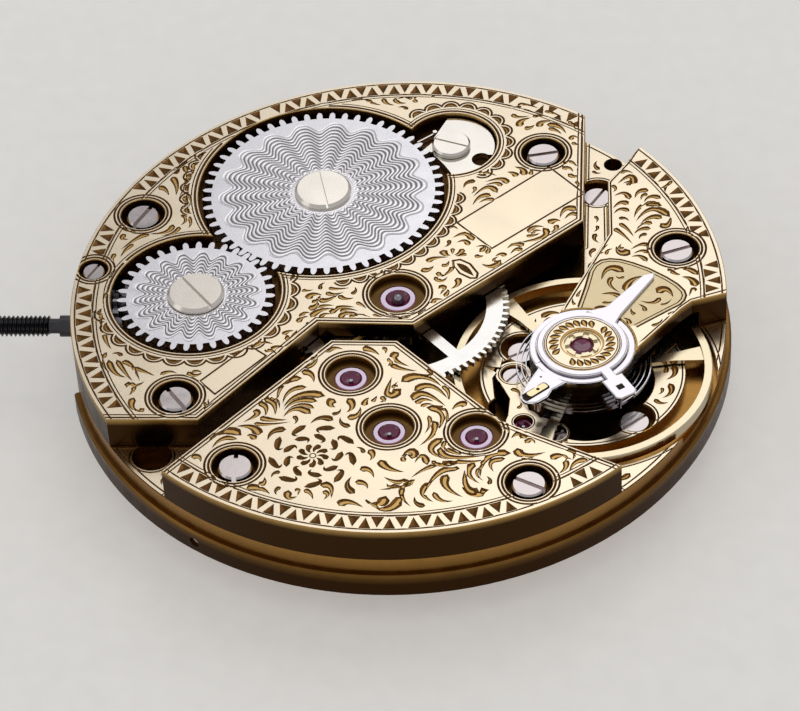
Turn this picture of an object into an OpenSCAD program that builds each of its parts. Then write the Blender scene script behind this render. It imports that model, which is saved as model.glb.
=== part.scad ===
// Hand-wound watch movement, seen from the bridge side.
// The origin is on the axis of the centre wheel, on the face that the dial rests on.
// +Z points to the bridges and the winding stem points along -X.

/* [Plate and bridges] */
// Diameter of the bridges and of the plate above its rim
casing_d = 36; // [35.8:0.05:36.4]
// How far the rim that rests in the case stands out
rim_out = 0.3; // [0.2:0.05:0.6]
// Height of the rim above the dial face
rim_h = 1.5; // [1.2:0.05:1.6]
// Height of the land that the bridges stand on
land_h = 2.5; // [2.45:0.01:2.6]
// Thickness of the bridges
bridge_t = 2; // [1.95:0.01:2.2]
// Depth of the sinks that hold the ratchet and crown wheels
wheel_sink_d = 0.68; // [0.64:0.01:0.72]
// Depth of the recesses on the dial side
dial_recess_d = 0.65; // [0.62:0.01:0.7]
// Thickness of the web between the dial recesses and the wells above
plate_web = 0.22; // [0.15:0.01:0.25]
// Chamfer round the top of the plate's rim
rim_bevel = 0.12; // [0.05:0.01:0.2]
// Half the angle over which the rim is cut away at the stem
rim_gap_dir = 15; // [10:1:20]

/* [Going train] */
// Teeth of the barrel
barrel_teeth = 72; // [72:1:72]
// Leaves of the centre pinion
centre_leaves = 16; // [16:1:16]
// Module of the barrel and the centre pinion
barrel_mod = 0.2205; // [0.217:0.0005:0.2225]
// Direction from the centre to the barrel
barrel_dir = 118.4; // [116:0.1:121]
// Teeth of the centre, third, fourth and escape wheels
train_teeth = [80, 75, 80, 15];
// Leaves of the third, fourth and escape pinions
train_leaves = [10, 10, 8];
// Modules of the centre, third and fourth wheels
train_mod = [0.148, 0.1086, 0.1058];
// Directions from centre to third, third to fourth, and fourth to escape
train_dir = [-109.7, -60.8, -4.3];
// Thickness of the train wheels
wheel_t = 0.22; // [0.18:0.01:0.25]
// Radius of the train arbors
arbor_r = 0.2; // [0.15:0.01:0.22]
// Radius of the train pivots
pivot_r = 0.1; // [0.08:0.005:0.12]

/* [Escapement and balance] */
// Radius of the escape wheel
escape_r = 3.18; // [3.1:0.01:3.25]
// Direction from the escape wheel to the balance
escape_dir = 49.7; // [49:0.1:51]
// Distance from the escape wheel to the pallets
pallet_dist = 3.67; // [3.62:0.01:3.72]
// Distance from the pallets to the balance
fork_dist = 4.85; // [4.8:0.01:4.9]
// Outer radius of the balance rim
balance_r = 7.05; // [6.9:0.01:7.1]
// Width of the balance rim, seen from above
balance_rim_w = 0.44; // [0.4:0.01:0.7]
// Height of the balance rim
balance_rim_h = 0.62; // [0.5:0.01:0.66]
// Turns of the hairspring
spring_turns = 6; // [4:1:6]
// Outer radius of the hairspring
spring_r = 3.8; // [3.7:0.01:3.9]
// Thickness of the hairspring's ribbon
spring_t = 0.08; // [0.05:0.01:0.09]
// Radius of the collet that holds the hairspring
collet_r = 0.62; // [0.55:0.01:0.64]

/* [Winding and setting] */
// Teeth of the ratchet wheel
ratchet_teeth = 56; // [56:1:56]
// Teeth of the crown wheel
crown_teeth = 35; // [35:1:35]
// Teeth of the winding pinion
winding_teeth = 16; // [16:1:16]
// Module of the ratchet and crown wheels
wind_mod = 0.236; // [0.235:0.0005:0.2375]
// Thickness of the ratchet and crown wheels
ratchet_t = 0.52; // [0.48:0.01:0.54]
// Height of the stem's axis
stem_z = 2.05; // [2.03:0.01:2.07]
// Radius of the stem
stem_r = 0.6; // [0.55:0.01:0.65]
// Distance from the centre to the outer end of the stem
stem_reach = 28; // [24:0.1:32]
// How far the stem pulls out to set the hands
stem_travel = 0.85; // [0.7:0.01:0.9]
// Module of the hands' train, where the cannon pinion drives it
hands_mod = 0.15; // [0.148:0.0005:0.152]

/* [Screws and jewels] */
// Radius of the bridge screws' heads
head_r = 0.92; // [0.8:0.01:1]
// Radius of the sinks round the bridge screws
head_sink_r = 1.25; // [1.15:0.01:1.3]
// Height of the bridge screws' heads
head_h = 0.62; // [0.5:0.01:0.7]
// Radius of the bridge screws' shanks
shank_r = 0.45; // [0.4:0.01:0.5]
// Radius of the heads of the ratchet and crown screws
big_head_r = 1.58; // [1.5:0.01:1.65]
// Width of a slot
slot_w = 0.24; // [0.18:0.01:0.28]
// Radius of the train's upper jewels
jewel_r = 0.9; // [0.85:0.01:0.95]
// Radius of the sinks above the train's jewels
jewel_sink_r = 1.35; // [1.3:0.01:1.42]
// Height of a hole jewel
jewel_h = 0.38; // [0.34:0.01:0.4]
// Depth of the train jewels below the top of the bridges
jewel_drop = 0.36; // [0.3:0.01:0.4]
// Radius of a pivot's clearance in its jewel
jewel_gap = 0.02; // [0.015:0.005:0.03]

/* [Hidden] */
$fn = 72;

// Play between parts that pass each other, and a cut's overrun past a face
play = 0.05;
over = 0.1;

// Heights, all from the dial face
top_z = land_h + bridge_t;
sink_z = top_z - wheel_sink_d;
ratchet_z = sink_z + 0.04;
well_z = dial_recess_d + plate_web;
barrel_z = well_z + 0.06;
barrel_top_z = land_h + 0.45;
barrel_teeth_z = land_h - 0.05;
barrel_teeth_h = 0.42;
centre_wheel_z = barrel_top_z + 0.2;
centre_wheel_t = 0.3;
centre_room_z = centre_wheel_z + centre_wheel_t + 0.1;
third_wheel_z = 1.42;
fourth_wheel_z = 2.12;
escape_wheel_z = 1.3;
train_floor_z = 1.2;
escape_floor_z = 1.02;
groove_z = 2;
balance_z = barrel_top_z + 0.07 - balance_rim_h;
arm_z = land_h + 0.14;
arm_t = 0.24;
spring_z = 3.1;
spring_h = 0.2;
cock_arm_z = 3.6;
jewel_top_z = top_z - jewel_drop;
low_jewel_z = 0.55;

// Axes, seen from the bridge side
function polar(r, a) = [r * cos(a), r * sin(a)];
barrel_dist = barrel_mod * (barrel_teeth + centre_leaves) / 2;
centre_at = [0, 0];
barrel_at = polar(barrel_dist, barrel_dir);
third_at = polar(train_mod[0] * (train_teeth[0] + train_leaves[0]) / 2, train_dir[0]);
fourth_at = third_at + polar(train_mod[1] * (train_teeth[1] + train_leaves[1]) / 2, train_dir[1]);
escape_at = fourth_at + polar(train_mod[2] * (train_teeth[2] + train_leaves[2]) / 2, train_dir[2]);
pallet_at = escape_at + polar(pallet_dist, escape_dir);
balance_at = pallet_at + polar(fork_dist, escape_dir);
wind_dist = wind_mod * (ratchet_teeth + crown_teeth) / 2;
crown_at = [barrel_at.x - sqrt(pow(wind_dist, 2) - pow(barrel_at.y, 2)), 0];

// Plate
casing_r = casing_d / 2;
rim_r = casing_r + rim_out;
barrel_tip_r = barrel_mod * (barrel_teeth / 2 + 1);
barrel_well_r = barrel_tip_r + 0.24;
centre_tip_r = train_mod[0] * (train_teeth[0] / 2 + 1.3);
centre_room_r = centre_tip_r + 0.2;
third_tip_r = train_mod[1] * (train_teeth[1] / 2 + 1.3);
fourth_tip_r = train_mod[2] * (train_teeth[2] / 2 + 1.3);
balance_room_r = balance_r + 0.25;
island_r = 5.6;
ratchet_r = wind_mod * (ratchet_teeth / 2 + 1);
crown_r = wind_mod * (crown_teeth / 2 + 1);
ratchet_sink_r = ratchet_r + 0.24;
crown_sink_r = crown_r + 0.36;
click_at = [2.5, 12.5];
click_sink_r = 2.62;

// Tooth phases: a gear of nb teeth that meshes, in the direction d, with one of na teeth at phase pa
function mesh(d, na, nb, pa) = d + 180 + 180 / nb - (pa - d) * na / nb;
third_phase = mesh(train_dir[0], train_teeth[0], train_leaves[0], 0);
fourth_phase = mesh(train_dir[1], train_teeth[1], train_leaves[1], third_phase);
escape_phase = mesh(train_dir[2], train_teeth[2], train_leaves[2], fourth_phase);
barrel_phase = mesh(barrel_dir, centre_leaves, barrel_teeth, 0);
wind_dir = atan2(barrel_at.y - crown_at.y, barrel_at.x - crown_at.x);
crown_phase = 180 + 180 / crown_teeth;
ratchet_phase = mesh(wind_dir, crown_teeth, ratchet_teeth, crown_phase);

// Winding pinion, on the stem's axis, with its teeth under the crown wheel's
winding_r = wind_mod * winding_teeth / 2 + 0.09;
winding_x = crown_at.x - crown_r - 0.28;
crown_root_x = crown_at.x - wind_mod * (crown_teeth / 2 - 1.15);
winding_teeth_l = crown_root_x - 0.05 - winding_x;
winding_l = 1.8;
sliding_x = winding_x + winding_l + 0.04;
sliding_l = 2.2;
sliding_r = 1.25;
sliding_groove_x = sliding_x + 1.0;
sliding_groove_w = 0.5;
sliding_groove_r = 0.8;
groove_x = winding_x - 0.35;
groove_w = 0.36;
groove_r = 0.35;
lever_len = 3.3;
lever_at = [groove_x - stem_travel / 2, -lever_len];
yoke_len = 4.2;
yoke_at = [sliding_groove_x + sliding_groove_w / 2 + stem_travel / 2, -yoke_len];
works_z = 0.28;
works_t = 0.3;

// Hands' train on the dial side
cannon_leaves = 12;
minute_teeth = 36;
minute_leaves = 10;
hour_teeth = 40;
setting_teeth = 18;
minute_dist = hands_mod * (cannon_leaves + minute_teeth) / 2;
hour_mod = minute_dist * 2 / (minute_leaves + hour_teeth);
minute_dir = 200;
minute_at = polar(minute_dist, minute_dir);
second_dir = 190;
second_at = minute_at + polar(hands_mod * (minute_teeth + setting_teeth) / 2, second_dir);
first_dir = 132;
first_at = second_at + polar(hands_mod * setting_teeth, first_dir);
minute_phase = mesh(minute_dir, cannon_leaves, minute_teeth, 0);
second_phase = mesh(second_dir, minute_teeth, setting_teeth, minute_phase);
first_phase = mesh(first_dir, setting_teeth, setting_teeth, second_phase);
hour_phase = mesh(minute_dir + 180, minute_leaves, hour_teeth, minute_phase);
minute_wheel_z = 0.36;
minute_wheel_t = 0.2;
hour_wheel_z = 0.08;
hour_wheel_t = 0.2;
hour_tube_z = -1.2;
hour_tube_r = 0.95;
cannon_z = -1.9;
cannon_r = 0.72;
cannon_bore_r = 0.4;
seconds_z = -1.5;
seconds_r = 0.12;

// Screws: place, direction of the slot
barrel_bridge_screws = [[-11.56, -8.03, -54], [-14.67, 6.51, 62], [7.77, 11.68, 12]];
train_bridge_screws = [[7.5, -14.3, -28], [-7.97, -13.1, 90]];
cock_screws = [[15.3, 3.6, 22]];
side_screw = [-17.0, 1.95, 62];
pallet_screws = [[6.4, -4.2, 50], [8.75, -8.65, 20]];
land_screws = [[13.0, -7.57, 40], [6.8, -2.25, 30], [10.85, 10.45, 60]];
case_sink_at = [-12.75, -10.55];
case_sink_r = 1.05;
foot_holes = [[11.72, 12.85], [-9.6, -14.2]];
foot_hole_r = 0.5;
head_z = top_z - 0.08 - head_h;
small_head_r = 0.62;
small_head_h = 0.35;
small_shank_r = 0.3;

// Regulator and stud carrier, round the boss of the cock
boss_r = 2.05;
boss_z = top_z + 0.22;
ring_z = top_z - 0.14;
ring_gap = 0.03;
inner_ring_r = 2.46;
outer_ring_r = 2.86;
pointer_z = top_z + 0.07;
pointer_t = 0.12;
pointer_dir = 56;
pointer_len = 6.8;
curb_dir = -58;
stud_dir = -125;
stud_r = 4.05;

// Draws one gear: teeth with straight flanks up to the pitch circle and rounded tips above it
module gear(n, m, tip, root, h, phase = 0, fill = 0.46) {
    pitch = 360 / n;
    half = pitch * fill / 2;
    r = m * n / 2;
    linear_extrude(h)
        polygon([for (i = [0:n - 1]) let (a = phase + i * pitch) each [
            polar(r - m * root, a - half * 1.1),
            polar(r, a - half),
            polar(r + m * tip * 0.62, a - half * 0.72),
            polar(r + m * tip, a - half * 0.26),
            polar(r + m * tip, a + half * 0.26),
            polar(r + m * tip * 0.62, a + half * 0.72),
            polar(r, a + half),
            polar(r - m * root, a + half * 1.1)]]);
}

// Draws a wheel with its teeth, rim, hub and spokes
module spoked_wheel(n, m, h, rim_r, hub_r, spokes, spoke_w, phase, turn) {
    difference() {
        gear(n, m, 1.3, 1.1, h, phase, 0.46);
        translate([0, 0, -over])
            linear_extrude(h + 2 * over)
                difference() {
                    circle(rim_r);
                    circle(hub_r);
                    for (i = [0:spokes - 1])
                        rotate(turn + i * 360 / spokes)
                            translate([0, -spoke_w / 2])
                                square([rim_r + 1, spoke_w]);
                }
    }
}

// Draws a pinion leaf bundle for the train
module leaves(n, m, h, phase) {
    gear(n, m, 0.8, 1.45, h, phase, 0.36);
}

module tube(ro, ri, h) {
    difference() {
        cylinder(r = ro, h = h);
        translate([0, 0, -over])
            cylinder(r = ri, h = h + 2 * over);
    }
}

// Draws a slotted screw with its head's underside at z 0
module slotted_screw(hr, hh, sr, length, slot, turn) {
    bevel = hr * 0.1;
    difference() {
        union() {
            translate([0, 0, -length])
                cylinder(r = sr, h = length + hh / 2);
            rotate_extrude()
                polygon([[0, 0], [hr, 0], [hr, hh - bevel], [hr - bevel, hh], [0, hh]]);
        }
        rotate(turn)
            translate([-hr - over, -slot / 2, hh * 0.5])
                cube([2 * (hr + over), slot, hh]);
    }
}

// Draws a hole jewel with its oil sink on top
module hole_jewel(r, h, hole) {
    sink_r = r * 0.62;
    rotate_extrude()
        polygon([[hole, 0], [r, 0], [r, h - 0.05], [r - 0.05, h], [sink_r + 0.06, h],
            [sink_r, h - 0.04], [hole + 0.06, h - 0.2], [hole, h - 0.22]]);
}

module at(p, z = 0) {
    translate([p.x, p.y, z])
        children();
}

module barrel_bridge_plan() {
    intersection() {
        circle(casing_r);
        polygon([[10.12, 20], [10.12, 5.9], [1, -2.46], [-4.22, -2.32], [-10.2, -9.8],
            [-20, -9.8], [-20, 20]]);
    }
}

module train_bridge_plan() {
    intersection() {
        circle(casing_r);
        polygon([[-3.44, -3.69], [0.15, -3.74], [6, -9.84], [14, -13.99], [14, -20],
            [-17, -20], [-12.96, -14.94]]);
    }
}

module cock_plan() {
    intersection() {
        circle(casing_r);
        union() {
            polygon([[13.4, 12.4], [12.54, 10.85], [11.46, 9.15], [11.55, 4.8], [8.75, -1.9],
                [10.15, -4.15], [12.6, -5.3], [13.25, -4.15], [15.5, -1.25], [16.1, -0.65],
                [20, 0.7], [20, 14]]);
            translate(balance_at)
                circle(outer_ring_r);
        }
    }
}

// Clears a sink and a clearance hole for each screw of a list
module screw_sinks(list, sr, z, hole_r) {
    for (s = list) {
        at(s, z)
            cylinder(r = sr, h = top_z);
        at(s, -over)
            cylinder(r = hole_r, h = top_z + 1);
    }
}

// Clears the seat of an upper train jewel
module jewel_seat(p) {
    at(p, jewel_top_z)
        cylinder(r = jewel_sink_r, h = bridge_t);
    at(p, jewel_top_z - jewel_h)
        cylinder(r = jewel_r, h = bridge_t);
    at(p, 0)
        cylinder(r = arbor_r + 0.25, h = top_z);
}

// Clears the seat of a lower train jewel, its oil sink and the way in for the arbor
module low_jewel_seat(p) {
    at(p, -over)
        cylinder(r = jewel_r * 0.95, h = low_jewel_z + over);
    at(p, 0)
        cylinder(r = jewel_r * 0.7, h = low_jewel_z + jewel_h);
    at(p, 0)
        cylinder(r = arbor_r + 0.2, h = land_h);
}

module main_plate() {
    color("#c9a86a")
        difference() {
            union() {
                cylinder(r = casing_r, h = land_h);
                rotate_extrude()
                    polygon([[0, 0], [rim_r - rim_bevel, 0], [rim_r, rim_bevel],
                        [rim_r, rim_h - rim_bevel], [rim_r - rim_bevel, rim_h], [0, rim_h]]);
            }
            rim_gap();
            plate_wells();
            plate_balance_well();
            plate_works();
            plate_holes();
        }
}

// Takes the rim away on both sides of the stem
module rim_gap() {
    translate([0, 0, -over])
        linear_extrude(land_h)
            difference() {
                polygon([[0, 0], polar(30, 180 - rim_gap_dir), polar(30, 180 + rim_gap_dir)]);
                circle(casing_r);
            }
}

// Clears the wells for the barrel and the train
module plate_wells() {
    at(barrel_at, well_z)
        cylinder(r = barrel_well_r, h = land_h);
    translate([0, 0, 1.45])
        cylinder(r = 2.4, h = land_h);
    translate([0, 0, 1.55])
        linear_extrude(land_h)
            difference() {
                polygon([[-1, -1], [10.15, 8.6], [10.15, -4], [4, -6]]);
                translate(balance_at)
                    circle(balance_room_r);
            }
    at(third_at, train_floor_z)
        cylinder(r = third_tip_r + 0.25, h = land_h);
    at(fourth_at, train_floor_z)
        cylinder(r = fourth_tip_r + 0.2, h = land_h);
    at(escape_at, escape_floor_z)
        cylinder(r = escape_r + 0.25, h = land_h);
    at(pallet_at, escape_floor_z)
        cylinder(r = 2.3, h = land_h);
}

// Leaves an island under the balance, with the escapement's well in it
module plate_balance_well() {
    at(balance_at, groove_z)
        tube(balance_room_r, island_r, land_h);
    at(balance_at, escape_floor_z)
        cylinder(r = 3.2, h = land_h);
    at(balance_at + [1, -0.6], escape_floor_z)
        cylinder(r = 2.9, h = land_h);
    at(balance_at + [0.2, -2.4], escape_floor_z)
        cylinder(r = 2.8, h = land_h);
    translate([0, 0, escape_floor_z])
        linear_extrude(land_h)
            polygon([pallet_at + [-1.5, 1], [5.3, -4.6], [5.9, -3.4], [8.6, -3.6],
                [10, -8], [8.6, -9.9], pallet_at + [0, -2]]);
    translate([0, 0, escape_floor_z])
        linear_extrude(land_h)
            pallet_bridge_plan(0.12);
}

// Clears the room of the winding and setting works
module plate_works() {
    winding_room = winding_r + 0.1;
    sliding_room = sliding_r + 0.1;
    sliding_end = sliding_x + sliding_l + stem_travel + 0.15;
    translate([-rim_r - 1, 0, stem_z])
        rotate([0, 90, 0])
            cylinder(r = stem_r + 0.03, h = rim_r + 1 + winding_x);
    translate([winding_x - play, -winding_room, -over])
        cube([winding_l + 2 * play, 2 * winding_room, land_h + 1]);
    translate([winding_x + winding_l, -sliding_room, stem_z - sliding_room])
        cube([sliding_end - winding_x - winding_l, 2 * sliding_room, land_h]);
    translate([winding_x + winding_l, -0.8, -over])
        cube([sliding_end - winding_x - winding_l, 1.6, land_h]);
    translate([sliding_end - over, 0, stem_z])
        rotate([0, 90, 0])
            cylinder(r = 0.32, h = 1.5);
    translate([groove_x - stem_travel - 0.3, -0.4, -over])
        cube([stem_travel + 0.5, 0.8, stem_z]);
    translate([0, 0, -over])
        linear_extrude(dial_recess_d + over)
            works_plan();
    translate([0, 0, -over])
        cylinder(r = hour_mod * (hour_teeth / 2 + 1.3) + 0.2, h = dial_recess_d + over);
    at(minute_at, -over)
        cylinder(r = hands_mod * (minute_teeth / 2 + 1.3) + 0.2, h = dial_recess_d + over);
}

// Outline of the recess for the setting works
module works_plan() {
    polygon([[lever_at.x - 0.85, lever_at.y - 0.9], [lever_at.x - 1.05, 1.2], [-13, 2.3],
        [first_at.x, first_at.y + 1.9], [first_at.x + 2, 1], second_at + [1.75, 0],
        second_at + [0.9, -2], [yoke_at.x + 1, yoke_at.y - 1.1], [-14, -6.2]]);
}

// Clears the seats of jewels, screws, feet and the casing sink
module plate_holes() {
    for (p = [third_at, fourth_at, escape_at])
        low_jewel_seat(p);
    at(pallet_at, -over)
        cylinder(r = jewel_r * 0.95, h = low_jewel_z + over);
    at(pallet_at, 0)
        cylinder(r = 0.5, h = low_jewel_z + 0.3);
    at(pallet_at, 0)
        cylinder(r = arbor_r + 0.1, h = land_h);
    translate([0, 0, dial_recess_d + 0.05])
        cylinder(r = 0.95, h = land_h);
    translate([0, 0, -over])
        cylinder(r = 0.7, h = land_h);
    at(balance_at, -over)
        cylinder(r = 1.1, h = 0.92 + over);
    at(balance_at, 0)
        cylinder(r = 0.45, h = land_h);
    at(barrel_at, -over)
        cylinder(r = 0.7, h = land_h);
    for (s = concat(barrel_bridge_screws, train_bridge_screws, cock_screws))
        at(s, 0.4)
            cylinder(r = shank_r, h = land_h);
    at(side_screw, 1)
        cylinder(r = small_shank_r, h = land_h);
    for (s = pallet_screws)
        at(s, 0.35)
            cylinder(r = small_shank_r, h = land_h);
    for (s = land_screws) {
        at(s, land_h - 0.75)
            cylinder(r = 1.1, h = land_h);
        at(s, 0.7)
            cylinder(r = small_shank_r, h = land_h);
    }
    at(case_sink_at, 1.2)
        cylinder(r = case_sink_r, h = land_h);
    at(case_sink_at, -over)
        cylinder(r = 0.5, h = land_h);
    for (p = foot_holes)
        at(p, -over)
            cylinder(r = foot_hole_r, h = land_h + 1);
    for (p = foot_holes)
        dial_screw_axis(p)
            cylinder(r = 0.3, h = 20);
    for (s = cover_screw_at)
        at(s, 0)
            cylinder(r = small_shank_r, h = 1.6);
    at(lever_at, 0)
        cylinder(r = small_shank_r, h = 1.3);
    at(yoke_at, 0)
        cylinder(r = small_shank_r, h = 1.3);
    for (p = [minute_at, first_at, second_at])
        at(p, 0)
            cylinder(r = 0.25, h = dial_recess_d + plate_web * 0.6);
}

// Places its children on the axis of the screw that clamps a dial foot, pointing outwards
module dial_screw_axis(p) {
    a = atan2(p.y, p.x);
    translate([p.x, p.y, 0.75])
        rotate([0, 90, a])
            children();
}

module barrel_bridge() {
    winding_room = winding_r + 0.1;
    sliding_room = sliding_r + 0.1;
    color("#e3cf9f")
        difference() {
            translate([0, 0, land_h])
                linear_extrude(bridge_t)
                    barrel_bridge_plan();
            at(barrel_at, 0)
                cylinder(r = barrel_well_r, h = barrel_top_z + 0.1);
            at(barrel_at, 0)
                cylinder(r = 0.69, h = top_z);
            cylinder(r = centre_room_r, h = centre_room_z);
            at(barrel_at, sink_z)
                cylinder(r = ratchet_sink_r, h = bridge_t);
            at(crown_at, sink_z)
                cylinder(r = crown_sink_r, h = bridge_t);
            at(click_at, sink_z)
                cylinder(r = click_sink_r, h = bridge_t);
            at(click_at, 3.3)
                cylinder(r = small_shank_r, h = bridge_t);
            at(click_spring_foot, 3.35)
                cylinder(r = 0.12, h = bridge_t);
            translate([winding_x - play, -winding_room, 0])
                cube([winding_l + 2 * play, 2 * winding_room, stem_z + winding_room]);
            translate([winding_x + winding_l, -sliding_room, 0])
                cube([sliding_l + stem_travel + 0.2, 2 * sliding_room, stem_z + sliding_room]);
            at(crown_at, 0)
                cylinder(r = 0.4, h = top_z);
            translate([-rim_r - 1, 0, stem_z])
                rotate([0, 90, 0])
                    cylinder(r = stem_r + 0.03, h = rim_r + 1 + winding_x);
            translate([0, 0, jewel_top_z])
                cylinder(r = 1.54, h = bridge_t);
            translate([0, 0, jewel_top_z - jewel_h])
                cylinder(r = 1.01, h = bridge_t);
            cylinder(r = 0.68, h = top_z);
            screw_sinks(barrel_bridge_screws, head_sink_r, head_z, shank_r + 0.05);
            screw_sinks([side_screw], 0.82, top_z - 0.5, small_shank_r + 0.03);
            for (p = foot_holes)
                at(p, 0)
                    cylinder(r = foot_hole_r + 0.2, h = land_h + 0.65);
        }
}

module train_bridge() {
    color("#e6d4a8")
        difference() {
            translate([0, 0, land_h])
                linear_extrude(bridge_t)
                    train_bridge_plan();
            cylinder(r = centre_room_r, h = centre_room_z);
            at(third_at, 0)
                cylinder(r = 1.1, h = centre_room_z + 0.05);
            at(fourth_at, 0)
                cylinder(r = fourth_tip_r + 0.2, h = land_h + 0.2);
            at(balance_at, 0)
                cylinder(r = balance_room_r, h = balance_z + balance_rim_h + 0.12);
            for (p = [third_at, fourth_at, escape_at])
                jewel_seat(p);
            screw_sinks(train_bridge_screws, head_sink_r, head_z, shank_r + 0.05);
            for (p = foot_holes)
                at(p, 0)
                    cylinder(r = foot_hole_r + 0.2, h = land_h + 0.65);
        }
}

module balance_cock() {
    color("#ead9b0")
        difference() {
            union() {
                translate([0, 0, land_h])
                    linear_extrude(bridge_t)
                        difference() {
                            cock_plan();
                            translate(balance_at)
                                circle(balance_room_r);
                        }
                translate([0, 0, cock_arm_z])
                    linear_extrude(top_z - cock_arm_z)
                        cock_plan();
                at(balance_at, cock_arm_z)
                    rotate_extrude()
                        polygon([[0, 0], [boss_r, 0], [boss_r, boss_z - cock_arm_z - 0.08],
                            [boss_r - 0.08, boss_z - cock_arm_z], [0, boss_z - cock_arm_z]]);
            }
            at(balance_at, ring_z - ring_gap)
                tube(outer_ring_r + 0.06, boss_r, 0.6);
            at(balance_at, 4.1)
                cylinder(r = 1.1, h = 1);
            at(balance_at, 3)
                cylinder(r = 0.55, h = 2);
            screw_sinks(cock_screws, head_sink_r, head_z, shank_r + 0.05);
        }
}

module pallet_bridge() {
    z = 1.78;
    t = 0.64;
    color("#dcc48f")
        difference() {
            union() {
                translate([0, 0, z])
                    linear_extrude(t)
                        pallet_bridge_plan(0);
                at(pallet_screws[0], escape_floor_z)
                    cylinder(r = 0.85, h = z + t - escape_floor_z);
                at(pallet_screws[1], escape_floor_z)
                    cylinder(r = 0.66, h = z + t - escape_floor_z);
            }
            for (s = pallet_screws) {
                at(s, z + t - small_head_h - 0.12)
                    cylinder(r = small_head_r + 0.06, h = 2);
                at(s, 0)
                    cylinder(r = small_shank_r + 0.02, h = 3);
            }
            at(pallet_at, z + t - 0.22)
                cylinder(r = 0.66, h = 1);
            at(pallet_at, z + t - 0.22 - 0.3)
                cylinder(r = 0.5, h = 1);
            at(pallet_at, 0)
                cylinder(r = arbor_r + 0.1, h = 3);
        }
}

// Outline of the pallet bridge, or of its clearance with g added all round
module pallet_bridge_plan(g) {
    s = pallet_screws[0];
    e = pallet_screws[1];
    translate([s.x, s.y])
        circle(0.98 + g);
    translate(pallet_at)
        circle(0.95 + g);
    translate([e.x, e.y])
        circle(0.78 + g);
    polygon([[s.x - 0.75 - g, s.y - 0.6], [s.x - 0.15 - g, s.y - 1.9],
        pallet_at + [-0.85 - g, 0.3], pallet_at + [0.3 + g, 0.88],
        [s.x + 0.75 + g, s.y - 2], [s.x + 0.85 + g, s.y - 0.4]]);
    polygon([pallet_at + [-0.1 - g, -0.9 - g], pallet_at + [0.75 + g, 0.45 + g],
        [e.x + 0.45 + g, e.y + 0.55 + g], [e.x - 0.35 - g, e.y - 0.6 - g]]);
}

module bridge_screws() {
    color("#9a9ca2")
        for (s = concat(barrel_bridge_screws, train_bridge_screws, cock_screws))
            at(s, head_z)
                slotted_screw(head_r, head_h, shank_r, head_z - 0.5, slot_w, s[2]);
}

module small_screws() {
    color("#a6a8ae") {
        at(side_screw, top_z - 0.5)
            slotted_screw(small_head_r, 0.42, small_shank_r, top_z - 1.6, 0.16, side_screw[2]);
        for (s = pallet_screws)
            at(s, 1.78 + 0.64 - small_head_h - 0.12)
                slotted_screw(small_head_r, small_head_h, small_shank_r, 1.5, 0.15, s[2]);
        for (s = land_screws)
            at(s, land_h - 0.75)
                slotted_screw(0.82, 0.45, small_shank_r, 1, 0.18, s[2]);
    }
}

module upper_train_jewels() {
    color("#a01848")
        for (p = [third_at, fourth_at, escape_at])
            at(p, jewel_top_z - jewel_h)
                hole_jewel(jewel_r, jewel_h, pivot_r + jewel_gap);
}

module lower_train_jewels() {
    color("#a01848") {
        for (p = [third_at, escape_at])
            at(p, low_jewel_z)
                hole_jewel(jewel_r * 0.7, jewel_h, pivot_r + jewel_gap);
        at(fourth_at, low_jewel_z)
            hole_jewel(jewel_r * 0.7, jewel_h, seconds_r + jewel_gap);
    }
}

module centre_jewels() {
    color("#a01848") {
        translate([0, 0, jewel_top_z - jewel_h])
            hole_jewel(1.01, jewel_h, 0.3 + jewel_gap);
        translate([0, 0, dial_recess_d + 0.05])
            tube(0.95, cannon_bore_r + jewel_gap, 0.4);
    }
}

module pallet_jewels() {
    color("#a01848") {
        at(pallet_at, 1.78 + 0.64 - 0.52)
            hole_jewel(0.5, 0.3, pivot_r * 0.8 + jewel_gap);
        at(pallet_at, low_jewel_z)
            hole_jewel(0.5, 0.3, pivot_r * 0.8 + jewel_gap);
    }
}

// Draws a shock setting with its mouth up: a cup whose bezel is cut into battlements
module shock_setting(depth) {
    difference() {
        tube(1.1, 0.66, depth);
        translate([0, 0, depth - 0.14])
            for (i = [0:5])
                rotate(i * 60 + 15)
                    translate([0.5, -0.17, 0])
                        cube([0.42, 0.34, 1]);
        translate([0, 0, depth - 0.14])
            tube(1.02, 0.92, 1);
    }
}

module shock_settings() {
    color("#e0c68a") {
        at(balance_at, 4.1)
            shock_setting(boss_z - 4.1 - 0.06);
        at(balance_at, 0.92)
            mirror([0, 0, 1])
                shock_setting(0.86);
    }
}

module balance_hole_jewels() {
    color("#b02050") {
        at(balance_at, 4.12)
            tube(0.66, 0.09, 0.16);
        at(balance_at, 0.74)
            tube(0.66, 0.09, 0.16);
    }
}

module cap_jewels() {
    color("#b02050") {
        at(balance_at, 4.28)
            rotate_extrude()
                polygon([[0, 0], [0.66, 0], [0.66, 0.16], [0.45, 0.3], [0, 0.34]]);
        at(balance_at, 0.74)
            mirror([0, 0, 1])
                rotate_extrude()
                    polygon([[0, 0], [0.66, 0], [0.66, 0.16], [0.45, 0.3], [0, 0.34]]);
    }
}

module click_screw() {
    color("#ececee")
        at(click_at, ratchet_z + 0.43)
            slotted_screw(1.1, 0.3, small_shank_r, 0.85, 0.12, -20);
}

// Where the click spring's foot stands; its wire lies along the top of the click's beak
click_spring_foot = click_at + [-1, 1.4];
module click_spring() {
    color("#e8e8ea")
        union() {
            at(click_spring_foot, 3.4)
                cylinder(r = 0.12, h = 0.8);
            at(click_spring_foot, ratchet_z + 0.1)
                rotate(219)
                    translate([0, -0.04, 0])
                        cube([1.25, 0.08, 0.12]);
        }
}

module crown_core() {
    color("#cfd0d4")
        at(crown_at, sink_z)
            tube(1.25, 0.42, ratchet_t + 0.06);
}

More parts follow.
